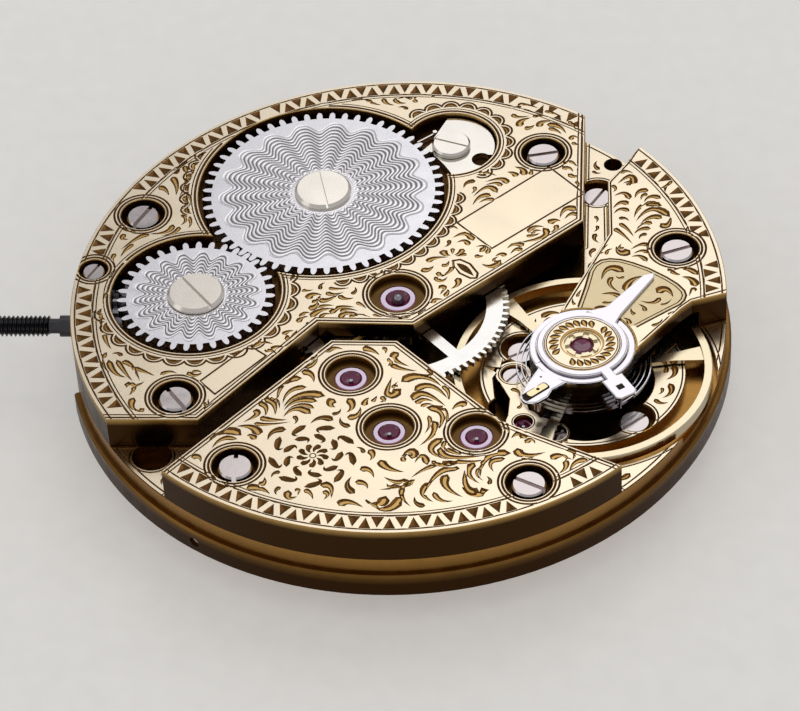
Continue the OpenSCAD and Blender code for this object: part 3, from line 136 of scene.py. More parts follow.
# Flat rings round the balance: their inner and outer radii
BOSS_RING = (1.17, 2.03)
INDEX_RING = (2.09, 2.44)
CARRIER_RING = (2.5, 2.85)
BALANCE_GROOVE = (5.6, 7.3)

# Each cut is a comma, drawn in hundredths of a mm: its round head, its middle and its pointed tail, both
# counted from the head, and its width
BARREL_BRIDGE_CUTS = [
    (655, 1575, -20, 15, -55, 0, 16), (605, 1530, 30, -30, 100, -20, 20), (660, 1415, -5, 45, 55, 80, 32),
    (675, 1400, 35, 5, 60, 30, 22), (775, 1410, 0, 40, 70, 55, 30), (805, 1430, 70, -15, 115, -80, 26),
    (815, 1400, 45, -20, 80, -55, 20), (720, 1500, 50, 10, 110, -5, 16), (950, 1290, 10, 35, 45, 20, 20),
    (955, 1275, 25, -20, 45, -15, 16), (885, 1080, 60, 25, 105, -30, 24), (900, 1040, 40, 10, 65, -25, 20),
    (935, 1000, 40, -25, 60, 10, 20), (980, 935, 15, -25, 15, -55, 16), (675, 985, 0, 50, -50, 75, 30),
    (645, 975, -25, 30, -60, 40, 24), (715, 990, 10, 30, -5, 55, 18), (585, 910, -30, 45, -125, 20, 26),
    (555, 890, -30, 30, -95, 10, 20), (535, 835, -60, 50, -140, -35, 24), (500, 810, -60, -5, -105, -80, 24),
    (520, 775, -45, 5, -90, -25, 18), (395, 890, 10, -30, -10, -60, 16), (420, 1010, 50, 0, 110, -30, 18),
    (995, 685, -65, 15, -100, -65, 30), (1000, 645, -40, 10, -80, -35, 22), (830, 575, 35, 25, 70, 20, 28),
    (865, 560, 10, -30, -25, -65, 22), (800, 540, 0, -80, -185, -130, 26), (720, 495, 30, 50, 90, 50, 22),
    (735, 485, 25, 30, 60, 25, 16), (705, 470, 45, 5, 80, 25, 16), (695, 385, -45, 20, -95, -20, 28),
    (685, 345, -30, 15, -65, -25, 22), (570, 275, -45, -55, -110, -35, 32), (595, 300, -25, 20, -60, 0, 22),
    (550, 250, -20, 25, 10, 50, 16), (410, 430, -45, 60, -120, 25, 30), (385, 390, -25, 40, -70, 25, 22),
    (445, 335, 30, 50, -25, 45, 22), (485, 320, 10, 50, -25, 75, 20), (420, 310, 30, -10, 50, 0, 18),
    (240, 355, 15, -35, 45, -45, 30), (355, 365, -20, -35, -50, -50, 22), (375, 325, -30, -15, -65, -20, 16),
    (160, 250, 30, 35, 115, 45, 24), (295, 370, 0, -30, 0, -50, 16), (130, 205, 30, -15, 65, 20, 30),
    (285, 290, 10, -90, -65, -170, 24), (240, 240, 25, -10, 40, 35, 20), (220, 175, 15, -30, 55, -25, 20),
    (200, 135, 40, -35, 75, 0, 20), (325, 125, 10, -50, -30, -90, 26), (225, 35, 35, 10, 10, -50, 26),
    (260, -30, 20, 40, 15, 60, 18), (205, -85, 5, 30, 55, 35, 24), (-60, -170, 30, -10, 65, -15, 12),
    (10, -200, 40, 0, 75, 15, 14), (60, -170, 25, 10, 50, 30, 12), (120, -175, 25, 25, 45, 55, 14),
    (-130, -170, 30, -15, 60, -20, 12), (255, 535, 35, 15, 65, -10, 18), (635, 1620, 65, -15, 125, -45, 14),
    (790, 1550, 50, -15, 110, -55, 16), (930, 1460, 30, -35, 45, -80, 16),
    # Foot of the bridge under the crown wheel
    (-1570, -530, 45, -100, 115, -140, 24), (-1525, -530, 50, -90, 105, -170, 20),
    (-1495, -545, 60, -40, 115, -155, 22), (-1440, -590, 70, -30, 140, -70, 20), (-1585, -470, -10, -90, 45, -180, 16),
    (-1465, -725, 55, -20, 35, -85, 30), (-1430, -710, 35, -20, 75, 10, 20), (-1400, -825, -5, -70, 55, -115, 26),
    (-1335, -910, -35, -20, -55, 10, 20), (-1275, -650, 50, 25, 95, 10, 16), (-1125, -625, 40, -30, 90, 0, 22),
    (-1100, -630, 30, 10, 55, -5, 14), (-1030, -840, 35, -45, 35, 10, 20), (-1015, -910, 25, 15, 55, 50, 16),
    (-770, -435, 40, 40, 105, 25, 22), (-685, -480, 30, 45, 80, 50, 28), (-715, -465, 40, 5, 75, -25, 18),
    (-610, -365, 45, 20, 65, 70, 30), (-620, -335, 25, 25, 60, 35, 20), (-540, -240, 15, 40, 55, 50, 22),
    (-535, -195, 25, 35, 55, 35, 18), (-500, -250, 30, 20, 40, 45, 14), (-495, -120, 45, 20, 40, 90, 28),
    (-500, -50, 25, 40, 80, 35, 28), (-475, -80, 30, 30, 45, 65, 20), (-435, -45, 45, -10, 115, 50, 26),
    (-400, 10, 40, -20, 100, 0, 20), (-330, -15, 40, -30, 90, -20, 20), (-475, -195, 50, 55, 130, 70, 26),
    (-440, -120, 40, 20, 90, 20, 18), (-365, -170, 45, 55, 135, 55, 26), (-305, -210, 35, 50, 170, 15, 24),
    (-310, -155, 35, 25, 100, 10, 18), (-420, -205, 20, 35, 60, 35, 18), (-260, -195, 40, 20, 100, 20, 16),
    (-230, -75, 35, -20, 60, -50, 16), (-535, 30, 25, -10, 65, 0, 16), (-390, 45, 50, -10, 120, 0, 16),
    # Horn between the two wheels, beside the border
    (-1245, 1170, -55, -80, -110, -140, 22), (-1310, 1050, -65, -75, -115, -155, 24),
    (-1355, 985, 35, -75, 40, -165, 26), (-1295, 1100, 30, -140, 0, -290, 24), (-1250, 1120, 15, -100, -10, -200, 16),
    (-1425, 890, 40, -15, 70, -70, 26), (-1290, 815, 45, -65, -5, -130, 26), (-1260, 860, 30, -70, 25, -150, 16),
    (-1290, 685, 50, -60, 25, -120, 24), (-1235, 650, 25, -60, 15, -110, 16), (-1310, 575, -35, -65, -140, -80, 22),
    (-1270, 555, -30, -50, -100, -80, 18), (-1435, 495, -65, -35, -155, -135, 24), (-1575, 495, -15, -40, 25, -45, 22),
    (-1615, 330, -15, -40, 0, -70, 18), (-1520, 410, -40, -50, -65, -110, 18), (-1600, 560, 40, -40, 90, -45, 18),
    (-1630, 30, -15, -70, -5, -140, 14), (-1640, -150, -5, -70, 15, -140, 16), (-1615, -320, 20, -70, 55, -130, 18),
    # Crescent of land above the ratchet wheel
    (20, 1660, -50, 25, -100, 0, 20), (45, 1635, -25, 30, 5, 55, 18), (-90, 1675, 20, -40, 70, -45, 22),
    (-220, 1640, -70, 25, -140, 10, 16), (-160, 1675, 20, -45, 70, -65, 20), (-260, 1675, 40, -45, 90, -60, 18),
    (120, 1685, 40, 10, 90, 0, 12), (-430, 1645, -70, -10, -150, -35, 12),
]

TRAIN_BRIDGE_CUTS = [
    (-375, -475, 45, 35, 95, 25, 22), (-175, -440, 50, -15, 100, -55, 28), (-65, -450, 20, 0, 20, -35, 20),
    (-35, -525, 25, -20, 5, -60, 24), (-495, -585, 55, 20, 80, 80, 28), (-500, -625, 55, -20, 75, -85, 30),
    (-460, -530, 30, 20, 40, 50, 16), (-490, -675, -100, -45, -125, -195, 28), (-460, -745, -90, -30, -125, -130, 22),
    (-355, -815, -135, 10, -225, -85, 34), (-395, -855, -110, 5, -180, -70, 26), (-425, -950, -85, 40, -150, -25, 30),
    (-410, -910, -80, 30, -150, -20, 18), (-305, -835, -20, -40, 10, -65, 36), (-235, -830, 30, -60, 0, -110, 30),
    (-140, -890, 5, 40, 25, 65, 24), (-100, -860, 15, 25, 25, 50, 16), (-230, -975, 55, 15, 70, 80, 28),
    (-690, -835, 55, -35, 70, -125, 32), (-720, -865, 45, -35, 45, -105, 26), (-660, -830, 45, -20, 60, -80, 16),
    (-745, -930, 25, -25, -45, -85, 28), (-700, -975, 60, -20, 150, -20, 26), (-730, -1020, 70, -10, 200, 10, 18),
    (-700, -1115, -35, 60, -125, 70, 36), (-710, -1145, -30, 30, -50, 25, 24), (-790, -1115, -105, 30, -190, -80, 40),
    (-810, -1140, -80, 0, -135, -75, 24), (-1050, -1280, 40, 5, 55, -35, 26), (-675, -1480, 30, 15, 30, 55, 26),
    (-735, -1510, 65, 5, 130, -40, 34), (-510, -1520, 5, -55, 50, -45, 28), (-475, -1530, 20, 10, 15, -30, 18),
    (-345, -1485, 55, -10, 65, -95, 30), (-330, -1530, 30, -20, 10, -60, 20), (-235, -1635, 45, 30, 130, -10, 34),
    (10, -1560, -45, -65, -125, -10, 40), (-430, -1520, 35, -20, 55, -70, 20),
    # Right of the fourth wheel's jewel
    (30, -475, -25, -50, 65, -110, 32), (-30, -515, 45, -70, 170, -105, 30), (55, -755, -70, -45, -55, 90, 42),
    (35, -725, -25, -15, 0, 25, 20), (50, -705, 110, 45, 225, -35, 38), (275, -735, 35, -45, 40, -125, 20),
    (125, -775, 90, 40, 190, -65, 30), (120, -850, 60, 55, 185, -45, 34), (140, -875, 35, 35, 95, 20, 24),
    (165, -895, 35, 20, 65, 15, 16), (195, -900, 90, -50, 60, -195, 32), (260, -880, 50, -80, 35, -180, 18),
    (235, -1000, 10, -90, -65, -190, 28), (210, -960, 10, -70, -15, -140, 16), (415, -885, -40, 10, -80, -35, 32),
    (300, -1130, -65, -90, 35, -165, 30), (285, -1190, 65, -85, 305, -50, 26), (305, -1200, 80, -45, 195, -30, 20),
    (320, -1150, -20, -50, 30, -100, 18), (330, -1300, 110, -10, 190, 10, 20), (135, -1290, -5, 60, -70, 5, 40),
    (-35, -1295, 45, -60, 135, -90, 32), (100, -1310, -10, 40, 35, 60, 20), (220, -1335, -30, 70, -70, 15, 26),
    (390, -1335, -130, 0, -255, -95, 30), (240, -1300, 60, -35, 140, -25, 20), (395, -1360, -110, -30, -185, -190, 30),
    (330, -1400, -5, -90, 90, -170, 32), (250, -1460, -45, -80, 15, -145, 30), (160, -1440, -70, -90, -15, -200, 28),
    (135, -1435, -65, -25, -145, 15, 28), (70, -1480, -40, -15, -60, 10, 22), (170, -1435, -80, -55, -200, -80, 24),
    (105, -1540, -85, -115, -200, -45, 38), (260, -1530, 40, -60, 110, -65, 20),
    (665, -1245, -130, -35, -160, -190, 34), (635, -1285, -75, -25, -60, -100, 26),
    (505, -1285, -65, -95, 0, -185, 30), (555, -1515, -115, 5, -125, 185, 42), (535, -1535, -85, -20, -125, 65, 26),
    (530, -1320, -45, -70, -5, -130, 16), (740, -1140, -35, 45, -80, 5, 34), (735, -1170, 35, 30, 55, -5, 22),
    (695, -1205, 40, -55, 155, -30, 34), (720, -1275, 30, -10, 70, 5, 16), (875, -1290, 50, 30, 115, -5, 28),
    (950, -1220, 50, -15, 40, -75, 26), (950, -1290, 5, -60, -35, -105, 22), (1075, -1295, -65, -15, -100, -90, 24),
    (935, -1250, 25, -25, 15, -50, 16), (610, -1050, 35, -25, 40, -55, 14), (190, -600, 20, -50, -40, -40, 20),
    (-55, -815, 20, -30, -5, -45, 20), (-100, -1220, 25, -40, 10, -80, 26), (-140, -1370, 50, 0, 80, -60, 26),
    (-160, -1460, 50, -10, 70, -50, 24),
]

COCK_CUTS = [
    (1305, 885, -10, 90, -85, 25, 34), (1275, 895, 10, 30, -25, 20, 20), (1290, 775, -30, 55, -90, 30, 24),
    (1285, 735, -45, 15, -90, -35, 24), (1290, 675, -50, 20, -90, -20, 20), (1400, 850, -55, -5, -80, -65, 24),
    (1395, 815, -30, -5, -40, -45, 18), (1470, 785, -60, 15, -100, -35, 22), (1440, 755, -40, 0, -85, -45, 16),
    (1475, 720, -105, 10, -160, -100, 30), (1520, 625, -100, 70, -195, -35, 32), (1475, 615, -65, 10, -135, -65, 26),
    (1420, 570, -50, 5, -90, -50, 20), (1465, 575, 40, -15, 60, 65, 34), (1410, 530, -55, -5, -95, -45, 20),
    (1200, 530, 45, -40, 110, -130, 20), (1230, 575, 45, -45, 85, -115, 18), (1295, 350, -55, -20, -80, 35, 38),
    (1260, 375, -25, -5, -15, 30, 20), (1405, 335, -30, 65, -110, 20, 28), (1400, 300, -30, 45, -90, 20, 22),
    (1390, 255, -40, 45, -90, 40, 20), (1135, 320, 0, 40, 40, 80, 20), (1160, 310, 10, 40, 40, 50, 14),
    (1660, 50, -25, 60, -80, 80, 32), (1675, 145, -75, 55, -155, 30, 24), (1500, 200, 50, -45, 75, -45, 18),
    (1655, 10, -15, 20, -35, -40, 20), (1535, 940, -40, -50, -85, -70, 14), (1185, 900, 25, -30, 10, -60, 16),
    (1235, 1000, 35, 20, 75, 0, 18), (1630, 550, -20, -35, 0, -70, 12), (1262, 168, -84, 34, -129, -66, 32),
    (1262, 135, -27, -15, -47, 5, 12), (1202, 130, -22, -58, 40, -130, 19), (1270, 10, 25, 85, 102, 128, 30),
    (1242, -35, -47, 30, -112, 25, 20), (1138, -75, 42, -3, 87, 15, 13), (1160, -135, -45, 13, -94, -21, 28),
    (1440, 0, 55, 30, 93, -35, 36), (1462, -35, -42, -43, -112, -27, 19), (1460, -92, 35, 7, 65, 47, 10),
    (1375, -150, -5, 35, -35, 60, 17), (1325, -172, -20, 17, -25, 52, 15), (1285, -250, 0, 30, -30, 50, 20),
    (1000, -35, 10, 35, 27, 65, 12), (993, -95, -15, 20, -15, 55, 12), (1410, -262, 40, 17, 65, 57, 15),
    (1505, -178, 15, 18, 33, 30, 12),
]


def linear(colour):
    """Turns an sRGB hex colour into the linear values that shaders take."""
    parts = [int(colour[i : i + 2], 16) / 255 for i in (1, 3, 5)]
    return [p / 12.92 if p <= 0.04045 else ((p + 0.055) / 1.055) ** 2.4 for p in parts] + [1.0]


def add(tree, kind, settings=None, links=None):
    """Adds a shader node with its settings and the links into its inputs."""
    made = tree.nodes.new(kind)
    for key, value in (settings or {}).items():
        if isinstance(key, str) and hasattr(made, key):
            setattr(made, key, value)
        else:
            made.inputs[key].default_value = value
    for key, source in (links or {}).items():
        tree.links.new(source, made.inputs[key])
    return made


def bare_tree(owner):
    """The emptied node tree of a material or a world."""
    owner.use_nodes = True
    owner.node_tree.nodes.clear()
    return owner.node_tree


def finish(name, dark, pale, smooth, rough, grain, bump, metallic=1.0, deep=None, attribute=None, ior=None):
    """Makes a procedural material: a noise of grain mm runs between two hex colours and two roughnesses.

    deep is (low mm, high mm, hex): below high the colour turns towards hex, a painted shade for recesses and lower
    sides.
    attribute is (name, hex): the surface turns to hex where that attribute of the mesh is 1."""
    made = bpy.data.materials.new(name)
    tree = bare_tree(made)
    place = add(tree, "ShaderNodeTexCoord").outputs["Object"]
    coarse = {"Scale": 1 / (grain * MM), "Detail": 4.0}
    noise = add(tree, "ShaderNodeTexNoise", coarse, {"Vector": place}).outputs["Fac"]
    hues = {"data_type": "RGBA", 6: linear(dark), 7: linear(pale)}
    colour = add(tree, "ShaderNodeMix", hues, {0: noise}).outputs[2]
    layers = []
    if deep:
        # Painted shade: the colour darkens towards deep's hex below its high mark
        height = add(tree, "ShaderNodeSeparateXYZ", {}, {0: place}).outputs["Z"]
        painted_depth_shade = {"From Min": deep[0] * MM, "From Max": deep[1] * MM, "To Min": 1.0, "To Max": 0.0}
        layers.append((add(tree, "ShaderNodeMapRange", painted_depth_shade, {"Value": height}).outputs[0], deep[2]))
    if attribute:
        where = add(tree, "ShaderNodeAttribute", {"attribute_name": attribute[0]})
        layers.append((where.outputs["Fac"], attribute[1]))
    for share, hue in layers:
        tint = {"data_type": "RGBA", 7: linear(hue)}
        colour = add(tree, "ShaderNodeMix", tint, {0: share, 6: colour}).outputs[2]
    spread = {"From Min": 0.3, "From Max": 0.7, "To Min": smooth, "To Max": rough}
    roughness = add(tree, "ShaderNodeMapRange", spread, {"Value": noise}).outputs[0]
    surface = {"Metallic": metallic, "IOR": ior} if ior else {"Metallic": metallic}
    shader = add(tree, "ShaderNodeBsdfPrincipled", surface, {"Base Color": colour, "Roughness": roughness})
    if bump:
        fine = {"Scale": 4 / (grain * MM), "Detail": 2.0}
        height = add(tree, "ShaderNodeTexNoise", fine, {"Vector": place}).outputs["Fac"]
        relief = {"Strength": bump, "Distance": 0.01 * MM}
        normal = add(tree, "ShaderNodeBump", relief, {"Height": height}).outputs[0]
        tree.links.new(normal, shader.inputs["Normal"])
    add(tree, "ShaderNodeOutputMaterial", {}, {"Surface": shader.outputs[0]})
    return made


RECIPES = {
    # Champagne gilding on burnished brass: pale, warm and nearly even
    "land": ("Champagne gilding, burnished", "#E8D6B8", "#F4E6CE", 0.2, 0.28, 2.5, 0.15),
    # Painted shade in the graver's cuts: dark brown with warm glints
    "cut": ("Graver cuts, darkened brass", "#3A2410", "#80592A", 0.24, 0.36, 0.35, 0.5),
    # Matted ground inside the cock's frame: creamier than the burnished land
    "panel": ("Matted gilding", "#DCC79E", "#EAD9B2", 0.34, 0.42, 0.4, 0.5),
    # The sides of the bridges, milled and gilt: pale at the top edge, darker lower down with painted shade
    "bridge": ("Milled sides, gilt brass", "#B58D4F", "#CFA968", 0.22, 0.34, 0.9, 0.3, 1.0, (4.1, 4.5, "#432C13")),
    # Main plate: gilt brass, grained, with painted shade darkening its wells, and bright again on the side that the
    # dial covers
    "plate": (
        "Grained gilt brass plate", "#A87A3C", "#C4944F", 0.22, 0.36, 0.8, 0.4, 1.0, (0.9, 2.45, "#40280F"),
        ("dial_side", "#B88A4A"),
    ),
    # Plain working steel of arbors and levers: mid grey, with a turned grain
    "steel": ("Turned steel, fine ground", "#8C8C92", "#A8A8AE", 0.2, 0.32, 0.5, 0.2),
    # Flat polished heads, slightly rosy grey beside the gilding
    "screw": ("Screw steel, flat polished", "#BEB4B3", "#D0C8C6", 0.12, 0.2, 0.8, 0.1),
    # White heads and levers have a warm polish
    "pale_steel": ("White polished steel", "#D5D0C8", "#E6E1D8", 0.12, 0.2, 1.5, 0.05),
    # The two large heads carry a warm brushed polish, like pale gold
    "cream_steel": ("Cream polished heads", "#E2DACF", "#EDE7DD", 0.15, 0.22, 2.2, 0.0),
    # The long stem is painted dark as shade beside the lit bridges
    "dark_steel": ("Oiled stem steel", "#3E3D40", "#57565A", 0.2, 0.3, 0.5, 0.1),
    # Slots and eyes in the index: painted shade, as the light doesn't reach their floors
    "slot_steel": ("Slot floor, oiled steel", "#1E1A16", "#3A342E", 0.3, 0.4, 0.4, 0.2),
    # The stud's head is pale polished brass between the arms of white steel
    "head_brass": ("Stud brass, polished", "#E2CB98", "#EFDDB2", 0.16, 0.24, 0.6, 0.1),
    # The index mirrors the room almost like a looking glass, faintly lilac
    "index_steel": ("Black polished steel index", "#D2CED3", "#E2DEE3", 0.1, 0.16, 1.2, 0.05),
    # Teeth and rims of the winding wheels: silvery, with a fine brushed grain
    "wheel_steel": ("Brushed wheel steel", "#DCDADE", "#EAE8EC", 0.2, 0.28, 0.7, 0.15),
    # Turned waves: lilac white crests, grey painted shade in the troughs
    "turned_steel": (
        "Guilloche on wheel steel", "#EAE7EA", "#F4F2F4", 0.22, 0.3, 0.9, 0.0, 1.0, None, ("groove", "#5E585C"),
    ),
    # The lower wheels are gilt, a fuller yellow than the bridges
    "brass": ("Gilt wheel brass", "#B98C45", "#D3AA62", 0.2, 0.3, 0.6, 0.2),
    # The balance is a pale beryllium bronze, less yellow than the plate
    "gilt": ("Pale bronze balance", "#D6C6A4", "#E4D8BC", 0.14, 0.22, 1.0, 0.1),
    # The centre wheel is nickelled: warm silver
    "nickel": ("Nickelled wheel", "#DCD9D5", "#E8E6E2", 0.16, 0.24, 0.8, 0.1),
    # Drawn spring ribbon: bright, cool grey
    "spring": ("Spring steel, drawn", "#B4B4BC", "#CDCDD4", 0.12, 0.2, 0.4, 0.1),
    # Synthetic corundum: deep magenta, glassy
    "ruby": ("Synthetic ruby", "#5A0A38", "#96195C", 0.03, 0.07, 0.5, 0.0, 0.0, None, None, 1.76),
    # The polished edge of a jewel carries the sky: its lilac is a painted reflection
    "ruby_edge": ("Ruby, polished edge", "#BDAEC4", "#D2C6D8", 0.06, 0.1, 0.6, 0.0, 0.55, None, None, 1.76),
    # Its chamfer lets the red of the body through
    "ruby_pink": ("Ruby, polished chamfer", "#C86AA8", "#DC8CC0", 0.06, 0.1, 0.6, 0.0, 0.4, None, None, 1.76),
}
FINISHES = {}


def material(key):
    """Gives a finish by its short name, made once."""
    if key not in FINISHES:
        FINISHES[key] = finish(*RECIPES[key])
    return FINISHES[key]


def select(*pieces):
    """Selects these objects alone and makes the first of them active."""
    for each in bpy.context.selected_objects:
        each.select_set(False)
    for each in pieces:
        each.select_set(True)
    if pieces:
        bpy.context.view_layer.objects.active = pieces[0]


def linked(name, data):
    """Puts a new object with this data into the scene."""
    made = bpy.data.objects.new(name, data)
    bpy.context.scene.collection.objects.link(made)
    return made


def belongs(piece, body, slot, *nodes):
    """Lets a piece ride on its body and stand for the nodes that it replaces; its slot is not used."""
    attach(piece, body)
    if nodes:
        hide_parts(*nodes)
    return piece


def mesh_piece(name, body, slot, points, faces, keys, face_keys=None, nodes=(), smooth=None):
    """Makes a mesh in metres from points in mm, gives it finishes and lets it ride on its body."""
    mesh = bpy.data.meshes.new(name)
    mesh.from_pydata([(x * MM, y * MM, z * MM) for x, y, z in points], [], faces)
    for key in keys:
        mesh.materials.append(material(key))
    if face_keys is not None:
        mesh.polygons.foreach_set("material_index", face_keys)
    mesh.validate()
    piece = linked(name, mesh)
    if smooth is not None:
        select(piece)
        bpy.ops.object.shade_smooth_by_angle(angle=math.radians(smooth))
    return belongs(piece, body, slot, *nodes)


# Shapes are distances from an outline in mm, negative inside, for arrays of points


def from_circle(at, radius, x, y):
    return np.hypot(x - at[0], y - at[1]) - radius


def from_ring(radii, x, y):
    return np.abs(from_circle(BALANCE, sum(radii) / 2, x, y)) - (radii[1] - radii[0]) / 2


def from_polygon(plan, x, y):
    best = np.full(x.shape, 1e9)
    inside = np.zeros(x.shape, bool)
    for (ax, ay), (bx, by) in zip(plan, plan[1:] + plan[:1]):
        dx, dy = bx - ax, by - ay
        t = np.clip(((x - ax) * dx + (y - ay) * dy) / (dx * dx + dy * dy), 0, 1)
        best = np.minimum(best, np.hypot(x - ax - t * dx, y - ay - t * dy))
        if ay != by:
            crosses = (ay > y) != (by > y)
            inside ^= crosses & (x < ax + (y - ay) * dx / dy)
    return np.where(inside, -best, best)


def without(shape, circles=(), plans=()):
    """A shape less round openings and polygons."""

    def rest(x, y):
        d = shape(x, y)
        for at, radius in circles:
            d = np.maximum(d, -from_circle(at, radius, x, y))
        for plan in plans:
            d = np.maximum(d, -from_polygon(plan, x, y))
        return d

    return rest


def bridge_shape(plan, openings):
    """A bridge's land: its plan within the movement's edge, less its openings."""
    return without(lambda x, y: np.maximum(from_circle(CENTRE, BRIDGE_EDGE, x, y), from_polygon(plan, x, y)), openings)


def polar(at, radius, angle):
    """The point at a distance from another, in a direction in radians."""
    return at[0] + radius * math.cos(angle), at[1] + radius * math.sin(angle)


def ring(at, radius, step=0.14, start=0.0, end=360.0):
    """Points round a circle, or along an arc of it, in degrees."""
    span = math.radians(end - start)
    count = max(12, int(abs(span) * radius / step))
    closed = abs(end - start) >= 360
    return [polar(at, radius, math.radians(start) + span * i / count) for i in range(count if closed else count + 1)]


def winding(plan):
    """1 for a plan that runs anticlockwise, with its inside on its left, and -1 for a clockwise one."""
    return 1 if sum(ax * by - bx * ay for (ax, ay), (bx, by) in zip(plan, plan[1:] + plan[:1])) > 0 else -1


def beside(line, distance, closed=False):
    """Moves a drawn line to its left by a distance, with mitred corners."""
    count = len(line)
    moved = []
    for i, (x, y) in enumerate(line):
        sides = []
        for a, b in ((i - 1, i), (i, i + 1)):
            if not closed and (a < 0 or b >= count):
                continue
            (ax, ay), (bx, by) = line[a % count], line[b % count]
            length = math.hypot(bx - ax, by - ay) or 1
            sides.append((-(by - ay) / length, (bx - ax) / length))
        nx = sum(s[0] for s in sides) / len(sides)
        ny = sum(s[1] for s in sides) / len(sides)
        scale = distance / max(nx * nx + ny * ny, 0.25)
        moved.append((x + nx * scale, y + ny * scale))
    return moved


def dense(line, step=0.3, closed=False):
    """Divides the long parts of a line."""
    out = []
    for (ax, ay), (bx, by) in zip(line, line[1:] + line[:1] if closed else line[1:]):
        parts = max(1, int(math.hypot(bx - ax, by - ay) / step))
        out += [(ax + (bx - ax) * i / parts, ay + (by - ay) * i / parts) for i in range(parts)]
    return out if closed else out + [line[-1]]


